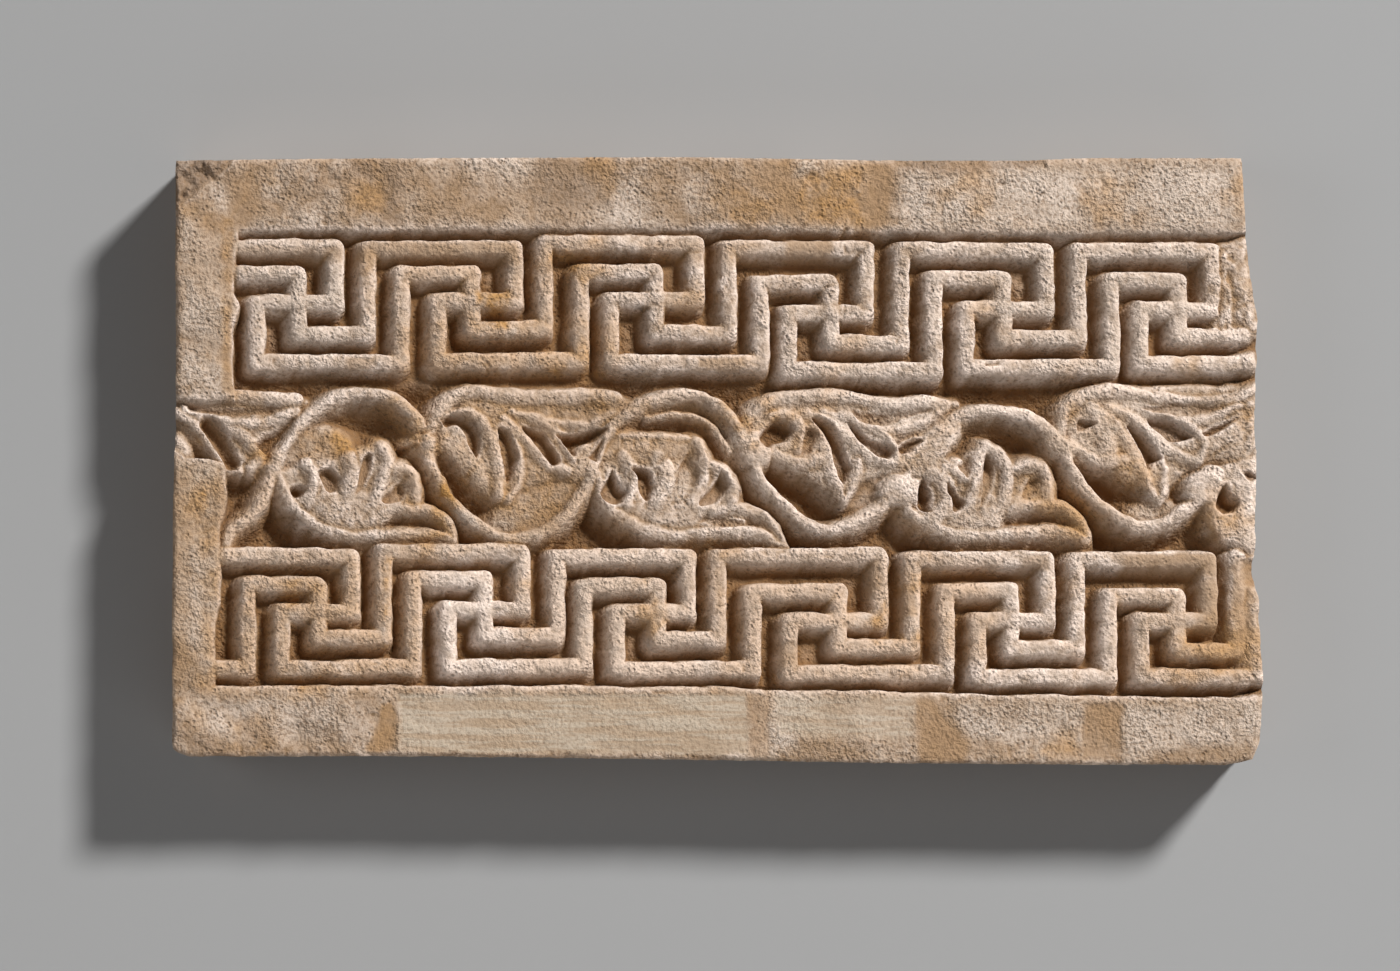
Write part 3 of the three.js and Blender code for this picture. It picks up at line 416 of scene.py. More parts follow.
# old repairs, stains, dirt and bleached places as (kind, strength, soft edge, outline); the dirt and bleached
# ones join the painted shade and painted highlight masks
surface = {
    "kinds": ("tan", "ochre", "grey", "pale", "dirtAndRecessShade", "soot", "wearAndHighlight"),
    "waver": 3.0,
    "frontFrom": 50.0,
    "hiddenSides": {"dirtAndRecessShade": 0.25, "ochre": 0.25},
    "patches": [
        ("tan", 0.5, 8.5, [(-502.5, -9), (-484, -9), (-482, -92), (-487.5, -211.5), (-504, -211.5)]),
        ("ochre", 0.55, 4.5, [(-454.5, 224.5), (-443.5, 226.5), (-445.5, 147), (-447, 70), (-454.5, 70)]),
        ("soot", 0.4, 11, [(-438, -235.5), (-412, -241), (-408.5, -261.5), (-430.5, -257.5)]),
        ("dirtAndRecessShade", 0.3, 9, [(-462, 197), (-449, 193), (-452.5, 182), (-463.5, 182)]),
        ("ochre", 0.42, 26, [(-296, 204), (-106.5, 204), (-99.5, 141.5), (-296, 141.5)]),
        ("ochre", 0.6, 26, [(-296, 138), (-143.5, 147), (-83.5, 129), (-88.5, 70), (-296, 70)]),
        ("ochre", 0.42, 26, box(-296, 62.5, 77.5, 0)),
        ("ochre", 0.28, 24, box(298, 60, 390, -78)),
        ("ochre", 0.48, 24, box(-493, -9, -401, -78)),
        ("ochre", 0.5, 26, box(-296, -4.5, -106.5, -81)),
        ("ochre", 0.56, 26, box(-474.5, -84.5, -263, -211.5)),
        ("ochre", 0.44, 26, box(-1, -88.5, 197, -211.5)),
        ("ochre", 0.3, 24, box(-180.5, -88.5, -14.5, -211.5)),
        ("wearAndHighlight", 0.42, 24, box(-272.5, -88.5, -24, -211.5)),
        ("wearAndHighlight", 0.2, 24, box(22, -88.5, 390, -211.5)),
        ("wearAndHighlight", 0.3, 18.5, box(399.5, 147, 486, 70)),
        ("tan", 0.4, 18.5, box(-290.5, 268.5, -103, 215.5)),
        ("pale", 0.95, 11, [(222.5, -224.5), (336.5, -224.5), (333, -259.5), (230, -256)]),
        ("tan", 0.55, 7.5, [(-451, 259.5), (-428.5, 265), (-412, 234.5), (-421.5, 215.5), (-441.5, 210),
            (-449, 230)]),
        ("tan", 0.85, 5.5, [(22, 276), (70, 276), (73.5, 248.5), (79, 215.5), (72, 213.5), (57, 239),
            (29.5, 256)]),
        ("tan", 0.95, 4.5, [(140, 273), (164, 273), (162, 239), (158, 213.5), (141.5, 213.5)]),
        ("ochre", 0.7, 13, [(75.5, 270.5), (138, 270.5), (140, 215.5), (83, 215.5)]),
        ("soot", 0.45, 22, [(-162, 274), (-116, 274), (-106.5, 239), (-143.5, 225.5), (-165.5, 248.5)]),
        ("soot", 0.5, 9, [(-309, 273), (-289, 273), (-292.5, 219), (-303.5, 217)]),
        ("soot", 0.35, 24, [(-401, 268.5), (-323, 270.5), (-327.5, 252), (-382.5, 243)]),
        ("soot", 0.85, 3, [(-500.5, 279.5), (-449, 279.5), (-452.5, 267.5), (-474.5, 250), (-493, 236.5),
            (-500.5, 232)]),
        ("soot", 0.6, 5.5, [(-338.5, 276), (-316.5, 276), (-316.5, 261.5), (-335, 257.5)]),
        ("soot", 0.6, 4.5, [(169.5, 278), (305.5, 278), (289, 268.5), (224.5, 263), (174, 267)]),
        ("tan", 0.95, 3, [(-303.5, -224.5), (-294.5, -221), (-293.5, -268.5), (-322, -268.5)]),
        ("ochre", 0.8, 3, [(-305.5, -228), (-296, -224.5), (-296, -267), (-318.5, -267)]),
        ("grey", 0.95, 3.5, [(-290.5, -215.5), (27.5, -215.5), (29.5, -270.5), (-289, -268.5)]),
        ("ochre", 0.4, 20, [(-254, -234.5), (-180.5, -232), (-189.5, -259.5), (-244.5, -257.5)]),
        ("tan", 0.7, 5.5, [(27.5, -215.5), (48, -216), (49.5, -272.5), (31.5, -272.5)]),
        ("grey", 0.8, 8.5, [(53.5, -218), (180.5, -220), (180.5, -256), (57, -253)]),
        ("tan", 0.9, 4.5, [(182, -219), (200.5, -221), (208, -235.5), (232, -257.5), (230, -279.5),
            (187.5, -278)]),
        ("tan", 0.9, 4.5, [(338.5, -224.5), (373.5, -226.5), (371.5, -278), (336.5, -276)]),
        ("ochre", 0.5, 13, [(289, -257.5), (335, -248.5), (335, -278), (289, -278)]),
        ("tan", 0.8, 3.5, box(-454.5, 106, -444.5, 62.5)),
        ("tan", 0.7, 3.5, box(-455.5, -26, -446, -57)),
        ("tan", 0.8, 4.5, box(64.5, 204, 108.5, 176.5)),
        ("tan", 0.7, 3, box(-340.5, 95.5, -314.5, 84.5)),
        ("tan", 0.8, 3, [(-16.5, 95), (26, 95.5), (27.5, 83.5), (-16.5, 83)]),
        ("ochre", 0.95, 6.5, [(-222.5, 156.5), (-187.5, 160), (-187.5, 119.5), (-219, 118)]),
        ("tan", 0.7, 4.5, [(-335, 202.5), (-180.5, 200.5), (-180.5, 182), (-335, 182)]),
        ("tan", 0.6, 4.5, [(-440, 197), (-342, 197), (-342, 182), (-440, 180.5)]),
        ("tan", 0.85, 4.5, box(373.5, -84.5, 465.5, -106.5)),
        ("tan", 0.8, 4.5, box(441.5, -106.5, 467.5, -162)),
        ("tan", 0.7, 3.5, box(476.5, -88.5, 493, -165.5)),
        ("tan", 0.7, 3.5, box(281.5, -87.5, 307.5, -102)),
        ("tan", 0.7, 3.5, box(170, -118, 184, -143.5)),
        ("tan", 0.7, 3.5, box(140, -92, 152, -121.5)),
        ("tan", 0.7, 3.5, box(59, -165.5, 78, -189.5)),
        ("ochre", 0.8, 3.5, box(-305.5, -88.5, -294.5, -175)),
        ("ochre", 0.55, 7.5, box(-447, -103, -353.5, -129)),
        ("ochre", 0.42, 8.5, [(-386.5, 32), (-290.5, 33), (-300, 13), (-382.5, 5.5)]),
        ("wearAndHighlight", 0.8, 5.5, [(154.5, -18.5), (165.5, -11), (180.5, -11), (191.5, -20), (189.5, -35),
            (162, -37)]),
        ("wearAndHighlight", 0.7, 5.5, [(436, -22), (447, -11), (467.5, -7.5), (467.5, -27.5), (449, -37)]),
        ("wearAndHighlight", 0.5, 5.5, [(478.5, -11), (495, -18.5), (497, -46), (478.5, -55), (487.5, -35)]),
        ("wearAndHighlight", 0.6, 7.5, [(311, 27.5), (325.5, 33), (340.5, 22), (336.5, 3.5), (316.5, 2)]),
        ("wearAndHighlight", 0.4, 7.5, [(24, 22), (40.5, 29.5), (53.5, 13), (40.5, -5.5), (27.5, 2)]),
        ("pale", 0.8, 4.5, box(311, 27.5, 340.5, 7.5)),
        ("ochre", 0.5, 7.5, box(353.5, 55, 381, 37)),
        ("ochre", 0.6, 4.5, box(-268.5, -191.5, -257.5, -211.5)),
        ("ochre", 0.6, 7.5, [(-24, -70), (26.5, -73.5), (26.5, -94), (-24, -92)]),
        ("ochre", 0.4, 9, box(-143.5, -46, -70, -84.5)),
        ("tan", 0.6, 5.5, box(-180.5, -50.5, -143.5, -66)),
        ("pale", 0.7, 8.5, [(-491.5, 225.5), (-449, 207), (-451, 70), (-491.5, 70)]),
        ("tan", 0.45, 8.5, [(-482, 219), (-440, 226.5), (-441.5, 182), (-451, 151), (-476.5, 147),
            (-487.5, 182)]),
        ("pale", 0.85, 11, [(375.5, -226.5), (498.5, -222.5), (500.5, -259.5), (375.5, -268.5)]),
        ("pale", 0.5, 13, [(-484, -221), (-327.5, -222.5), (-336.5, -261.5), (-474.5, -257.5)]),
        ("soot", 0.4, 11, [(-497, -246.5), (-465.5, -254), (-438, -272.5), (-495, -272.5)]),
        ("ochre", 0.55, 6.5, [(-449, 75.5), (-417.5, 72), (-417.5, 53.5), (-449, 55)]),
        ("ochre", 0.6, 5.5, [(-427, 22), (-406.5, 18.5), (-408.5, -3.5), (-425, 0)]),
        ("pale", 1.0, 18.5, [(174, 265), (482, 271.5), (482, 215.5), (174, 215.5)]),
        ("pale", 0.5, 11, box(-424, 175, -341.5, 101)),
        ("pale", 0.4, 7.5, box(-309, 147, -272.5, 83)),
        ("ochre", 0.15, 13, [(-497, -18.5), (-462, -18.5), (-469, -92), (-469, -202.5), (-500.5, -202.5)]),
        ("pale", 0.55, 13, [(-497, -5.5), (-462, -5.5), (-469, -92), (-471, -165.5), (-498.5, -165.5)]),
        ("ochre", 0.6, 9, [(-254, -9), (-208, -5.5), (-211.5, -55), (-254, -55)]),
        ("ochre", 0.5, 7.5, box(-116, 60, -81, 32)),
        ("ochre", 0.5, 14.5, box(160, -92, 261.5, -184)),
        ("ochre", 0.3, 16.5, box(362.5, -119.5, 491.5, -202.5)),
        ("ochre", 0.4, 13, box(-14.5, -97.5, 68, -147)),
        ("ochre", 0.45, 11, box(-70, 202.5, 40.5, 182)),
        ("soot", 0.35, 13, [(-143.5, 57), (-70, 62.5), (-70, 37), (-134.5, 33)]),
        ("pale", 0.5, 13, box(-143.5, -101, -51.5, -184)),
        ("pale", 0.45, 13, box(252, 193, 445.5, 92)),
    ],
}


def latticeNoise(x, y, cell, seed):
    size = 128
    table = np.random.default_rng(seed).random((size, size)) * 2 - 1
    u, v = x / cell, y / cell
    i, j = np.floor(u).astype(int), np.floor(v).astype(int)
    a, b = u - i, v - j
    a, b = a * a * (3 - 2 * a), b * b * (3 - 2 * b)
    i, j = i % size, j % size
    iNext, jNext = (i + 1) % size, (j + 1) % size
    low = table[j, i] * (1 - a) + table[j, iNext] * a
    high = table[jNext, i] * (1 - a) + table[jNext, iNext] * a
    return low * (1 - b) + high * b


# lumps of the cell size in millimetres, with finer layers of half the size and height
def layeredNoise(x, y, cell, layers, seed):
    total, weight, share = 0.0, 0.0, 1.0
    for n in range(layers):
        total = total + share * latticeNoise(x + 17.3 * n, y - 9.1 * n, cell, seed + n)
        weight += share
        share *= 0.5
        cell *= 0.5
    return total / weight


# a curve through the points
def smoothLine(points, steps=6):
    p = np.array(points, float)
    if len(p) < 3:
        return p
    ends = np.vstack([2 * p[0] - p[1], p, 2 * p[-1] - p[-2]])
    line = []
    for i in range(1, len(ends) - 2):
        a, b, c, d = ends[i - 1 : i + 3]
        for t in np.linspace(0, 1, steps, endpoint=False):
            bend = (2 * a - 5 * b + 4 * c - d) * t * t + (-a + 3 * b - 3 * c + d) * t**3
            line.append(0.5 * (2 * b + (c - a) * t + bend))
    return np.array(line + [p[-1]])


# distance to a line, less its half width there
def lineDistance(x, y, line, half):
    widths = np.atleast_1d(np.array(half, float))
    spread = np.linspace(0, 1, len(line))
    widths = np.interp(spread, np.linspace(0, 1, len(widths)), widths)
    best = np.full(x.shape, 1e9)
    for i in range(len(line) - 1):
        (ax, ay), (bx, by) = line[i], line[i + 1]
        dx, dy = bx - ax, by - ay
        t = np.clip(((x - ax) * dx + (y - ay) * dy) / (dx * dx + dy * dy + 1e-9), 0, 1)
        d = np.hypot(x - ax - t * dx, y - ay - t * dy) - (widths[i] + (widths[i + 1] - widths[i]) * t)
        np.minimum(best, d, out=best)
    return best


# distance to an outline, negative inside it
def outlineDistance(x, y, outline):
    inside = np.zeros(x.shape, bool)
    for i in range(len(outline)):
        (ax, ay), (bx, by) = outline[i - 1], outline[i]
        if ay == by:
            continue
        inside ^= ((ay > y) != (by > y)) & (x < (bx - ax) * (y - ay) / (by - ay) + ax)
    d = lineDistance(x, y, np.vstack([outline, outline[:1]]), 0)
    return np.where(inside, -d, d)


# zero well inside, rising as t outside, rounded between
def easeOff(t, radius):
    return 0.5 * (t + np.sqrt(t * t + radius * radius))


def softMax(a, b, width):
    blend = np.clip(0.5 + 0.5 * (a - b) / width, 0, 1)
    return b * (1 - blend) + a * blend + width * blend * (1 - blend)


def softMin(a, b, width):
    return -softMax(-a, -b, width)


# the other coordinate of an edge line at these values of one axis
def along(points, values, axis):
    p = np.array(points)
    order = np.argsort(p[:, axis])
    return np.interp(values, p[order, axis], p[order, 1 - axis])


# the carved face as a field of heights; u and v waver so that no cut is ruler straight
class Relief:
    def __init__(self, x, y):
        self.x, self.y = x, y
        wander = 1.1 * layeredNoise(x, y, 55, 2, 3), 1.1 * layeredNoise(x, y, 55, 2, 13)
        tremble = 1.1 * layeredNoise(x, y, 15, 2, 23), 1.1 * layeredNoise(x, y, 15, 2, 33)
        ragged = 0.5 * layeredNoise(x, y, 7, 1, 43), 0.5 * layeredNoise(x, y, 7, 1, 53)
        self.u, self.v = x + wander[0] + tremble[0] + ragged[0], y + wander[1] + tremble[1] + ragged[1]
        self.h = np.zeros(x.shape)

    # the part of the grid near a line
    def near(self, line, reach):
        low, high = np.min(line, 0) - reach, np.max(line, 0) + reach
        hit = (self.x > low[0]) & (self.x < high[0]) & (self.y > low[1]) & (self.y < high[1])
        rows, columns = np.where(hit.any(1))[0], np.where(hit.any(0))[0]
        if len(rows) == 0:
            return None
        return slice(rows[0], rows[-1] + 1), slice(columns[0], columns[-1] + 1)

    def raiseTo(self, part, height, width):
        self.h[part] = softMax(self.h[part], height, width)

    def ridge(self, line, half, top, slope, radius, width=2.6):
        part = self.near(line, 42)
        if part:
            d = lineDistance(self.u[part], self.v[part], line, half)
            self.raiseTo(part, top - slope * easeOff(d, radius), width)

    def form(self, kind, height, slope, half, points):
        closed = kind in ("plate", "scoop", "rough")
        line = smoothLine(points + points[:1] if closed else points, 4 if closed else 6)
        part = self.near(line, 38)
        if part is None:
            return
        x, y = self.u[part], self.v[part]
        if kind == "plate":
            self.raiseTo(part, height - slope * easeOff(outlineDistance(x, y, line), 3.5), 2.4)
        elif kind == "cove":
            outside = np.maximum(outlineDistance(x, y, line), 0)
            self.raiseTo(part, height - slope * lineDistance(x, y, line, 0) - 2.5 * outside, 2)
        elif kind == "scoop":
            rising = height + half * (line[:, 1].max() - y)
            sunk = softMax(slope * outlineDistance(x, y, line) - 5, rising, 3)
            self.h[part] = softMin(self.h[part], sunk, 2.4)
        elif kind == "rough":
            inside = np.clip(0.5 - outlineDistance(x, y, line) / 6, 0, 1)
            self.h[part] += inside * (height + slope * layeredNoise(x, y, 9, 3, 77))
        elif kind == "rib":
            self.raiseTo(part, height - slope * easeOff(lineDistance(x, y, line, half), 3.6), 2.2)
        else:
            d = lineDistance(x, y, line, half)
            self.h[part] = softMin(self.h[part], height + slope * easeOff(d, 2.6), 2.2)


# the two bars that run through a band of keys, as bent lines
def keyLines(columns, rows, left, hook, ends):
    _, c, e, _, _ = columns[0]
    top, second, middle, _, low = rows[0]
    lines = [[(left, top), (e, top), (e, middle), (c, middle)]]
    if hook is None:
        lines.append([(left, second), (c, second), (c, middle)])
    else:
        lines.append([(left - 6, low), (hook, low), (hook, second), (c, second), (c, middle)])
    for i, (a, c, e, f, g) in enumerate(columns):
        top, second, middle, fourth, low = rows[i]
        upper = [(c, middle), (c, fourth)]
        lower = [(c, middle), (a, middle), (a, low)]
        if i + 1 < len(columns):
            _, nextC, nextE, _, _ = columns[i + 1]
            nextTop, nextSecond, nextMiddle, _, _ = rows[i + 1]
            upper += [(f, fourth), (f, nextTop), (nextE, nextTop), (nextE, nextMiddle), (nextC, nextMiddle)]
            lower += [(g, low), (g, nextSecond), (nextC, nextSecond), (nextC, nextMiddle)]
        else:
            upper += [(ends[0], fourth)] if ends[0] else [(f, fourth), (f, top + 2)]
            lower += [(ends[1], low)]
        lines += [upper, lower]
    return [np.array(line, float) for line in lines]


def carve(relief):
    x, y = relief.u, relief.v
    high, ramp, rampLow, low = slab["vineBand"]
    sink = np.clip((high - y) / (high - ramp), 0, 1) * np.clip((y - low) / (rampLow - low), 0, 1)
    sink = sink * sink * (3 - 2 * sink)
    relief.h = slab["meanderFloor"] + (slab["vineFloor"] - slab["meanderFloor"]) * sink
    relief.h = relief.h + 1.1 * layeredNoise(x, y, 24, 3, 31)
    upperLeft = np.minimum(along(slab["marginLeft"], y, 1) - x, y - slab["leafGapTop"])
    lowerLeft = np.minimum(along(slab["marginLowLeft"], y, 1) - x, along(slab["leafGapBottom"], x, 0) - y)
    margin = np.maximum(upperLeft, lowerLeft)
    margin = np.maximum(margin, y - along(slab["marginTop"], x, 0))
    margin = np.maximum(margin, along(slab["marginBottom"], x, 0) - y)
    relief.h = softMax(relief.h, -slab["marginSlope"] * easeOff(-margin - 1, 2.0), 1.6)
    relief.field = np.clip(-margin / 6, 0, 1)
    bars = keyLines(meander["upperColumns"], meander["upperRows"], meander["upperLeft"], None,
                    meander["upperEnds"])
    bars += keyLines(meander["lowerColumns"], meander["lowerRows"], meander["lowerLeft"],
                     meander["lowerHook"], meander["lowerEnds"])
    shift = np.array(meander["shift"])
    for line in bars:
        relief.ridge(line + shift, meander["half"], meander["top"], meander["slope"], meander["round"])
    for form in leaves["arches"]:
        relief.form(*form)
    for line in vine["stems"]:
        relief.ridge(smoothLine(line), vine["half"], vine["top"], vine["slope"], vine["round"])
    for name, forms in leaves.items():
        if name not in ("arches", "damage"):
            for form in forms:
                relief.form(*form)
    knot = vine["knot"]
    for x0, y0, radius in vine["knots"]:
        line = np.array([(x0 - 2, y0), (x0 + 2, y0)])
        relief.ridge(line, radius - knot["inset"], knot["top"], knot["slope"], knot["round"], knot["blend"])
    for form in leaves["damage"]:
        relief.form(*form)


def patchMasks(relief):
    masks = {kind: np.zeros(relief.x.shape) for kind in surface["kinds"]}
    x = relief.x + surface["waver"] * layeredNoise(relief.x, relief.y, 14, 3, 71)
    y = relief.y + surface["waver"] * layeredNoise(relief.x, relief.y, 14, 3, 81)
    for kind, strength, soft, outline in surface["patches"]:
        part = relief.near(outline, 30)
        inside = np.clip(0.5 - outlineDistance(x[part], y[part], np.array(outline)) / soft, 0, 1)
        masks[kind][part] = np.maximum(masks[kind][part], strength * inside)
    return masks


def boxBlur(field, reach):
    size = 2 * reach + 1
    padded = np.pad(field, ((reach + 1, reach), (reach + 1, reach)), mode="edge")
    sums = padded.cumsum(0).cumsum(1)
    return (sums[size:, size:] - sums[:-size, size:] - sums[size:, :-size] + sums[:-size, :-size]) / size**2


# points over the face, drawn in to its chipped outline, and how far each is from the edge
def faceGrid(step):
    wide, tall = slab["faceSize"]
    u, v = np.meshgrid(np.linspace(0, 1, int(wide / step)), np.linspace(0, 1, int(tall / step)))
    guessX = slab["faceStart"] + wide * u
    nick = 0.8 * layeredNoise(guessX, guessX * 0, 9, 3, 91)
    low, high = along(slab["bottom"], guessX, 0) + nick, along(slab["top"], guessX, 0) - np.abs(nick)
    y = low + v * (high - low)
    rough = 1.6 * layeredNoise(y, y * 0 + 40, 12, 3, 95)
    left, right = along(slab["left"], y, 1) + 0.4 * rough, along(slab["right"], y, 1) - np.abs(rough)
    x = left + u * (right - left)
    edge = np.minimum(np.minimum(x - left, right - x), np.minimum(y - low, high - y))
    return x, y, edge


# wear in millimetres, how far round it the stone is averaged to find hollows and creases, the depths over
# which painted shade darkens the recesses, and the painted highlight on raised parts
weather = {
    "skin": 1.0,
    "fineSkin": 0.7,
    "lumps": 0.9,
    "pocks": 2.4,
    "repairSmooth": 0.8,
    "hollowReach": 9.0,
    "creaseReach": 3.5,
    "recessShadeFrom": 5.0,
    "recessShadeOver": 17.0,
    "bleachedAndHighlit": 0.35,
}


# the field of heights over the face, with its worn edges and weathered skin, and its colour masks with
# painted shade in the recesses and painted highlight on the raised parts
def weatheredFace(step):
    x, y, edge = faceGrid(step)
    relief = Relief(x, y)
    carve(relief)
    masks = patchMasks(relief)
    smooth = np.clip(masks["tan"] + masks["grey"], 0, 1)
    skin = weather["skin"] * layeredNoise(x, y, 34, 3, 41)
    skin = skin + weather["fineSkin"] * layeredNoise(x, y, 8, 2, 51)
    lumps = weather["lumps"] * layeredNoise(x, y, 13, 2, 57) * relief.field
    relief.h += (skin + lumps) * (1 - weather["repairSmooth"] * smooth)
    pock = np.clip(layeredNoise(x, y, 5.2, 1, 61) - 0.45, 0, 1)
    pock = pock * np.clip(layeredNoise(x, y, 40, 2, 65) + 0.5, 0, 1)
    relief.h -= weather["pocks"] * pock * (1 - smooth)
    hollow = boxBlur(relief.h, int(weather["hollowReach"] / step)) - relief.h
    crease = boxBlur(relief.h, int(weather["creaseReach"] / step)) - relief.h
    # painted shade: the dirt mask is raised with depth below the face, in hollows and in creases, on top of
    # the real dirt patches
    deep = np.clip((-relief.h - weather["recessShadeFrom"]) / weather["recessShadeOver"], 0, 1)
    masks["dirtAndRecessShade"] = np.clip(masks["dirtAndRecessShade"] + deep**1.5 + hollow / 16 + crease / 7 - 0.1, 0, 1)
    # painted highlight: raised parts and convex edges are made paler and hollows and creases less so, along
    # with the bleached patches and rounded arrises
    raised = weather["bleachedAndHighlit"] * relief.field * np.clip((relief.h + 11) / 6, 0, 1)
    worn = slab["arris"] * (1 + 0.6 * layeredNoise(x, y, 20, 3, 101))
    rounded = np.clip(worn - edge, 0, None)
    bleachedAndHighlit = masks["wearAndHighlight"] + 0.05 + raised - hollow / 12 - crease / 1.8 + 0.05 * rounded
    masks["wearAndHighlight"] = np.clip(bleachedAndHighlit, 0, 1)
    relief.h -= rounded**2 / (1.6 * worn)
    return x, y, edge, relief.h, masks


# the cuts lean: steep towards the upper right, drawn out towards the lower left
def leanOf(h, edge):
    return slab["lean"] * np.minimum(h, 0) * np.clip(edge / 25, 0, 1)


# numbers of the points round the rim of a grid
def ringOf(nx, ny):
    ids = np.arange(nx * ny).reshape(ny, nx)
    return np.concatenate([ids[0, :-1], ids[:-1, -1], ids[-1, :0:-1], ids[:0:-1, 0]])


# roughness of the sides in millimetres, deeper on the broken right one, and the back's bevel and grid
sides = {"levels": 16, "hewn": 1.2, "broken": 2.2, "bevel": 3.0, "backGrid": 8.0}


# closes the face with rough sides and a plainly dressed back
def panelMesh(step):
    x, y, edge, h, masks = weatheredFace(step)
    ny, nx = x.shape
    thickness = slab["thickness"]
    lean = leanOf(h, edge)
    points = [np.stack([(x + lean).ravel(), -(thickness + h.ravel()), (y + lean).ravel()], 1)]
    ids = np.arange(nx * ny).reshape(ny, nx)
    quads = [np.stack([ids[:-1, :-1], ids[:-1, 1:], ids[1:, 1:], ids[1:, :-1]], -1).reshape(-1, 4)]
    ring = ringOf(nx, ny)
    rim = points[0][ring]
    after, before = np.roll(rim, -1, 0), np.roll(rim, 1, 0)
    outward = np.stack([(after - before)[:, 2], np.zeros(len(rim)), -(after - before)[:, 0]], 1)
    outward /= np.linalg.norm(outward, axis=1)[:, None] + 1e-9
    walk = np.cumsum(np.linalg.norm(rim - before, axis=1))
    broken = np.clip(outward[:, 0], 0, 1)
    previous, total = ring, len(points[0])
    for k in range(1, sides["levels"] + 1):
        t = k / sides["levels"]
        depth = rim[:, 1] * (1 - t)
        hewn = layeredNoise(walk, depth + 200, 30, 3, 111) + 0.5 * layeredNoise(walk, depth + 300, 9, 2, 121)
        inset = (sides["hewn"] + sides["broken"] * broken) * (np.abs(hewn) + 0.1) * min(1, 4 * t)
        inset = inset + sides["bevel"] * max(0, t - 0.93) / 0.07
        level = rim + 0
        level[:, 1] = depth
        level -= outward * inset[:, None]
        points.append(level)
        current = total + np.arange(len(ring))
        total += len(ring)
        quads.append(np.stack([previous, current, np.roll(current, -1), np.roll(previous, -1)], 1)[:, ::-1])
        previous = current
    gap = sides["backGrid"]
    gridX, gridY = np.meshgrid(np.arange(-480, 484, gap), np.arange(-250, 254, gap))
    dressed = 0.9 * layeredNoise(gridX, gridY * 0.4, 20, 3, 131)
    dressed = dressed + 0.7 * layeredNoise(gridX, gridY, 60, 2, 141)
    back = np.stack([gridX.ravel(), -0.9 + dressed.ravel() * 0.5, gridY.ravel()], 1)
    backRows, backColumns = gridX.shape
    points.append(back)
    backIds = total + np.arange(gridX.size).reshape(backRows, backColumns)
    backQuads = np.stack([backIds[:-1, :-1], backIds[1:, :-1], backIds[1:, 1:], backIds[:-1, 1:]], -1)
    quads.append(backQuads.reshape(-1, 4))
    inner = backIds.ravel()[ringOf(backColumns, backRows)]
    place = np.concatenate(points)
    triangles = stitch(previous, inner, place)
    return place / 1000, np.concatenate(quads), triangles, (x, y, masks)


# triangles between the outer and the inner rim of the back, walking round both by angle
def stitch(outer, inner, place):
    def turn(ids):
        return np.arctan2(place[ids, 2] / 280, place[ids, 0] / 500)

    beyond = 9  # more than any angle
    outerTurn, innerTurn = turn(outer), turn(inner)
    outer = np.roll(outer, -np.argmin(outerTurn))
    inner = np.roll(inner, -np.argmin(innerTurn))
    outerTurn, innerTurn = np.sort(outerTurn), np.sort(innerTurn)
    triangles, i, j = [], 0, 0
    while i < len(outer) or j < len(inner):
        a, b = outer[i % len(outer)], inner[j % len(inner)]
        nextOuter = outerTurn[i + 1] if i + 1 < len(outer) else beyond + i - len(outer)
        nextInner = innerTurn[j + 1] if j + 1 < len(inner) else beyond + j - len(inner)
        if (nextOuter <= nextInner and i < len(outer)) or j >= len(inner):
            triangles.append((a, b, outer[(i + 1) % len(outer)]))
            i += 1
        else:
            triangles.append((a, b, inner[(j + 1) % len(inner)]))
            j += 1
    return np.array(triangles)


def meshFrom(name, place, quads, triangles):
    mesh = bpy.data.meshes.new(name)
    corners = np.concatenate([quads.ravel(), triangles.ravel()]).astype(np.int32)
    sizes = np.concatenate([np.full(len(quads), 4), np.full(len(triangles), 3)])
    starts = np.concatenate([[0], np.cumsum(sizes)[:-1]]).astype(np.int32)
    mesh.vertices.add(len(place))
    mesh.vertices.foreach_set("co", place.astype(np.float32).ravel())
    mesh.loops.add(len(corners))
    mesh.loops.foreach_set("vertex_index", corners)
    mesh.polygons.add(len(sizes))
    mesh.polygons.foreach_set("loop_start", starts)
    mesh.update(calc_edges=True)
    mesh.validate()
    return mesh


# fewer triangles where the stone is even, more along the carving
def thinned(obj, most):
    triangles = sum(len(p.vertices) - 2 for p in obj.data.polygons)
    if triangles <= most:
        return
    thin = obj.modifiers.new("thin", "DECIMATE")
    thin.ratio = most / triangles
    thin.use_collapse_triangulate = True
    fewer = bpy.data.meshes.new_from_object(obj.evaluated_get(bpy.context.evaluated_depsgraph_get()))
    obj.modifiers.clear()
    old = obj.data
    obj.data = fewer
    bpy.data.meshes.remove(old)


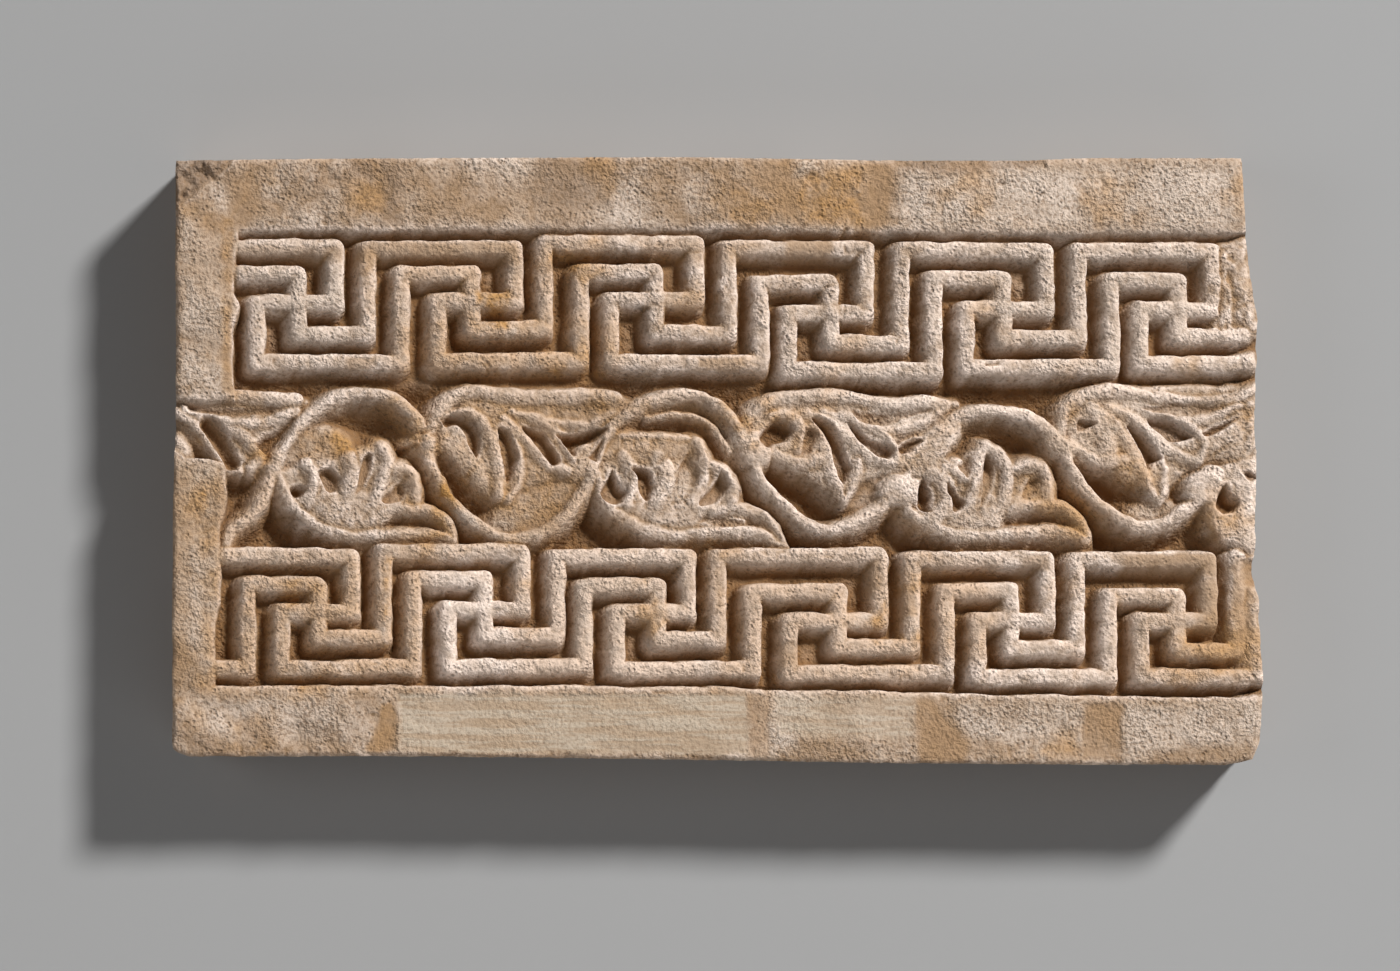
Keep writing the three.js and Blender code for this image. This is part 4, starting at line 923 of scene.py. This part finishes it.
# the surface masks are read off the face grid at each vertex that is left
def paintMasks(mesh, x, y, masks):
    place = np.empty(len(mesh.vertices) * 3, np.float32)
    mesh.vertices.foreach_get("co", place)
    place = place.reshape(-1, 3) * 1000
    ny, nx = x.shape
    left, right = along(slab["left"], place[:, 2], 1), along(slab["right"], place[:, 2], 1)
    low, high = along(slab["bottom"], place[:, 0], 0), along(slab["top"], place[:, 0], 0)
    edge = np.minimum(np.minimum(place[:, 0] - left, right - place[:, 0]),
                      np.minimum(place[:, 2] - low, high - place[:, 2]))
    lean = leanOf(-place[:, 1] - slab["thickness"], np.maximum(edge, 0))
    i = np.clip((place[:, 0] - lean - left) / (right - left), 0, 1) * (nx - 1)
    j = np.clip((place[:, 2] - lean - low) / (high - low), 0, 1) * (ny - 1)
    i0, j0 = np.minimum(i.astype(int), nx - 2), np.minimum(j.astype(int), ny - 2)
    a, b = i - i0, j - j0
    front = np.clip((-place[:, 1] - surface["frontFrom"]) / 8, 0, 1)
    for name, field in masks.items():
        upper = field[j0 + 1, i0] * (1 - a) + field[j0 + 1, i0 + 1] * a
        value = (field[j0, i0] * (1 - a) + field[j0, i0 + 1] * a) * (1 - b) + upper * b
        value = value * front + surface["hiddenSides"].get(name, 0.0) * (1 - front)
        layer = mesh.attributes.new(name, "FLOAT", "POINT")
        layer.data.foreach_set("value", value.astype(np.float32))


# a shader socket that reads as maths
class Shade:
    def __init__(self, tree, socket=None):
        self.tree, self.socket = tree, socket

    def make(self, kind, settings=None, sockets=None, out=0):
        node = self.tree.nodes.new(kind)
        for key, value in (settings or {}).items():
            setattr(node, key, value)
        for key, value in (sockets or {}).items():
            if isinstance(value, Shade):
                self.tree.links.new(value.socket, node.inputs[key])
            else:
                node.inputs[key].default_value = value
        return Shade(self.tree, node.outputs[out] if node.outputs else None)

    def math(self, operation, other=0.0, clamp=False):
        return self.make("ShaderNodeMath", {"operation": operation, "use_clamp": clamp}, {0: self, 1: other})

    def __add__(self, other):
        return self.math("ADD", other)

    def __sub__(self, other):
        return self.math("SUBTRACT", other)

    def __rsub__(self, other):
        return self.make("ShaderNodeMath", {"operation": "SUBTRACT"}, {0: other, 1: self})

    def __mul__(self, other):
        return self.math("MULTIPLY", other)

    __radd__ = __add__
    __rmul__ = __mul__

    def clamped(self):
        return self.math("ADD", 0.0, True)

    def between(self, low, high):
        return self.make("ShaderNodeMapRange", {"interpolation_type": "SMOOTHSTEP"},
                         {"Value": self, "From Min": low, "From Max": high})

    # one colour into another, by this value
    def blend(self, first, second):
        return self.make("ShaderNodeMix", {"data_type": "RGBA"}, {0: self, 6: first, 7: second}, 2)


stone = {
    "sand": (0.315, 0.212, 0.132, 1),
    "pale": (0.575, 0.472, 0.395, 1),
    "worn": (0.83, 0.692, 0.608, 1),
    # the pale of worn tops, also laid as the painted highlight on raised parts and edges
    "tan": (0.33, 0.205, 0.11, 1),
    "ochre": (0.42, 0.225, 0.075, 1),
    "grey": (0.475, 0.395, 0.31, 1),
    # dark brown for the dirt patches and for the painted shade in recesses, hollows and creases
    "dirtAndRecessShade": (0.2, 0.104, 0.043, 1),
    "soot": (0.215, 0.15, 0.104, 1),
    # random dark specks and the painted shade in pores and dents
    "speckAndPitShade": (0.19, 0.115, 0.062, 1),
    "roughness": 0.94,
    "gloss": 0.2,
    "grainDepth": 0.0027,
}


def stoneMaterial():
    # weathered stone colours, with painted shade in recesses and pits and painted highlight on raised parts
    material = bpy.data.materials.new("weathered_stone_with_painted_shade")
    material.use_nodes = True
    tree = material.node_tree
    tree.nodes.clear()
    base = Shade(tree)
    place = base.make("ShaderNodeTexCoord", out="Object")

    def mask(name):
        return base.make("ShaderNodeAttribute", {"attribute_name": name}, out="Fac")

    def noise(scale, detail=2.0, stretch=None, rough=0.55):
        at = place
        if stretch:
            at = base.make("ShaderNodeVectorMath", {"operation": "MULTIPLY"}, {0: place, 1: stretch})
        sockets = {"Vector": at, "Scale": scale, "Detail": detail, "Roughness": rough}
        return base.make("ShaderNodeTexNoise", {}, sockets, "Fac")

    tan, ochre, grey, pale = mask("tan"), mask("ochre"), mask("grey"), mask("pale")
    dirtAndRecessShade, soot, wearAndHighlight = mask("dirtAndRecessShade"), mask("soot"), mask("wearAndHighlight")
    cloud, mottle = noise(8, 5), noise(55, 4)
    grit, grain = noise(150, 4, None, 0.5), noise(300, 3)
    even = (tan * 0.7 + grey).clamped()
    pores = base.make("ShaderNodeTexVoronoi", {"feature": "F1"},
                      {"Vector": place, "Scale": 230.0}, "Distance")
    pitted = (1.0 - pores.between(0.1, 0.5)) * mottle.between(0.44, 0.6) * (1.0 - even * 0.85)

    blotch = noise(24, 4)
    colour = (cloud * 0.55 + blotch * 0.45).between(0.45, 0.65).blend(stone["sand"], stone["pale"])
    # painted highlight: raised parts and edges blended towards the worn pale, with the real worn and bleached
    # places
    colour = (wearAndHighlight * (0.35 + mottle.between(0.3, 0.6) * 0.6)).blend(colour, stone["worn"])
    colour = (pale * (0.4 + blotch.between(0.3, 0.55) * 0.6)).blend(colour, stone["pale"])
    stain = noise(14, 5).between(0.53, 0.7)
    colour = (stain * 0.55 + ochre * mottle.between(0.25, 0.6)).clamped().blend(colour, stone["ochre"])
    colour = (tan * (0.55 + mottle * 0.6)).clamped().blend(colour, stone["tan"])
    streak = noise(60, 3, (0.25, 1.0, 3.0))
    colour = (grey * (0.55 + streak * 0.7)).clamped().blend(colour, stone["grey"])
    colour = (grey * streak.between(0.56, 0.4) * 0.4).blend(colour, stone["tan"])
    # painted shade: the dirt colour laid into recesses, hollows and creases, together with the real dirt
    # patches
    colour = (dirtAndRecessShade * (0.6 + cloud * 0.8)).clamped().blend(colour, stone["dirtAndRecessShade"])
    colour = (soot * (0.4 + mottle * 1.1)).clamped().blend(colour, stone["soot"])
    # painted shade in the pores and in the dents of the grain bump, with random dark specks
    speckle = grit.between(0.6, 0.36) * 0.16 + grain.between(0.52, 0.36) * 0.48
    colour = (speckle * (1.0 - wearAndHighlight * 0.5 - even * 0.4) + pitted * 0.2).clamped().blend(colour, stone["speckAndPitShade"])

    coarse = noise(20, 3).between(0.36, 0.62)
    sandy = grit * (0.5 + coarse * 0.8) + grain * (0.35 + coarse * 0.6)
    height = sandy * (1.0 - even * 0.65) - pitted * 0.45 + mottle * 0.6 + streak * grey * 0.25
    normal = base.make("ShaderNodeBump", {}, {
        "Strength": 1.0, "Distance": stone["grainDepth"], "Height": height})
    shader = base.make("ShaderNodeBsdfPrincipled", {}, {
        "Base Color": colour, "Roughness": stone["roughness"], "Specular IOR Level": stone["gloss"],
        "Normal": normal})
    base.make("ShaderNodeOutputMaterial", {}, {"Surface": shader})
    return material


meshing = {"step": 1.2, "quickStep": 3.0, "mostTriangles": 190000, "sharpAngle": 1.0}


def buildPanel():
    step = meshing["step"]
    place, quads, triangles, (x, y, masks) = panelMesh(step)
    mesh = meshFrom("carved_panel", place, quads, triangles)
    panel = bpy.data.objects.new("carved_panel", mesh)
    bpy.context.collection.objects.link(panel)
    thinned(panel, meshing["mostTriangles"])
    paintMasks(panel.data, x, y, masks)
    panel.data.shade_smooth()
    panel.data.set_sharp_from_angle(angle=meshing["sharpAngle"])
    panel.data.materials.append(stoneMaterial())
    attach(panel, "root")
    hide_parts("relief_panel")
    print("panel", len(panel.data.polygons), "triangles")


stage = {
    "wall": (0.302, 0.306, 0.313, 1),
    "floor": (0.5, 0.49, 0.48, 1),
    "floorLevel": -1.5,
    "floorFront": -2.2,
    "floorBack": 1.6,
    "wallBehind": 0.001,
    "wallTop": 1.4,
    "halfWidth": 2.0,
    "roughness": 0.9,
}


# the wall shows from its front only, so that the back of the panel can be seen
def plainMaterial(name, colour, oneSided):
    material = bpy.data.materials.new(name)
    material.use_nodes = True
    tree = material.node_tree
    shader = tree.nodes["Principled BSDF"]
    shader.inputs["Base Color"].default_value = colour
    shader.inputs["Roughness"].default_value = stage["roughness"]
    if oneSided:
        base = Shade(tree)
        behind = base.make("ShaderNodeNewGeometry", out="Backfacing")
        clear = base.make("ShaderNodeBsdfTransparent")
        seen = base.make("ShaderNodeMixShader", {}, {0: behind, 1: Shade(tree, shader.outputs[0]), 2: clear})
        tree.links.new(seen.socket, tree.nodes["Material Output"].inputs["Surface"])
    return material


def plane(name, corners, material):
    mesh = bpy.data.meshes.new(name)
    mesh.from_pydata(corners, [], [(0, 1, 2, 3)])
    mesh.materials.append(material)
    obj = bpy.data.objects.new(name, mesh)
    bpy.context.collection.objects.link(obj)
    return obj


def buildStage():
    low, front, back = stage["floorLevel"], stage["floorFront"], stage["floorBack"]
    behind, top, side = stage["wallBehind"], stage["wallTop"], stage["halfWidth"]
    plane("floor", [(-side, front, low), (side, front, low), (side, back, low), (-side, back, low)],
          plainMaterial("pale_floor", stage["floor"], False))
    wallCorners = [(-side, behind, low), (side, behind, low), (side, behind, top), (-side, behind, top)]
    wall = plane("wall", wallCorners, plainMaterial("grey_wall", stage["wall"], True))
    wall.visible_shadow = False
    print("stage set")


# places in metres; each lamp looks at the middle of the panel
lights = {
    "key": {"place": (6.88, -6.88, 7.28), "size": 1.9, "power": 2520.0, "colour": (1.0, 0.985, 0.96)},
    "rear": {"place": (-1.6, 3.2, 2.4), "size": 2.5, "power": 170.0, "colour": (1.0, 1.0, 1.0)},
    "fill": {"place": (-3.0, -2.6, 0.3), "size": 2.0, "power": 20.0, "colour": (1.0, 0.99, 0.98)},
    "ambient": 0.042,
}


def buildLights():
    for name in ("key", "rear", "fill"):
        spec = lights[name]
        lamp = bpy.data.lights.new(name, "AREA")
        lamp.shape, lamp.size, lamp.energy, lamp.color = "DISK", spec["size"], spec["power"], spec["colour"]
        obj = bpy.data.objects.new(name, lamp)
        obj.location = spec["place"]
        obj.rotation_euler = (-Vector(spec["place"])).to_track_quat("-Z", "Y").to_euler()
        bpy.context.collection.objects.link(obj)
    world = bpy.data.worlds.new("studio")
    world.use_nodes = True
    sky = world.node_tree.nodes["Background"]
    sky.inputs["Color"].default_value = (1, 1, 1, 1)
    sky.inputs["Strength"].default_value = lights["ambient"]
    bpy.context.scene.world = world
    print("lights set")


# square on to the face, as the photograph is
camera = {"aim": (-0.0147, -0.09, -0.0235), "distance": 5.0, "frameWidth": 1.288, "sensor": 36.0}


def buildCamera():
    data = bpy.data.cameras.new("camera")
    data.sensor_width = camera["sensor"]
    data.lens = camera["sensor"] * camera["distance"] / camera["frameWidth"]
    obj = bpy.data.objects.new("camera", data)
    aim = Vector(camera["aim"])
    obj.location = aim - Vector((0, camera["distance"], 0))
    obj.rotation_euler = Vector((0, 1, 0)).to_track_quat("-Z", "Y").to_euler()
    bpy.context.collection.objects.link(obj)
    bpy.context.scene.camera = obj
    bpy.context.scene.view_settings.view_transform = "Standard"
    print("camera set")


buildCamera()
buildPanel()
buildStage()
buildLights()
bpy.context.view_layer.update()
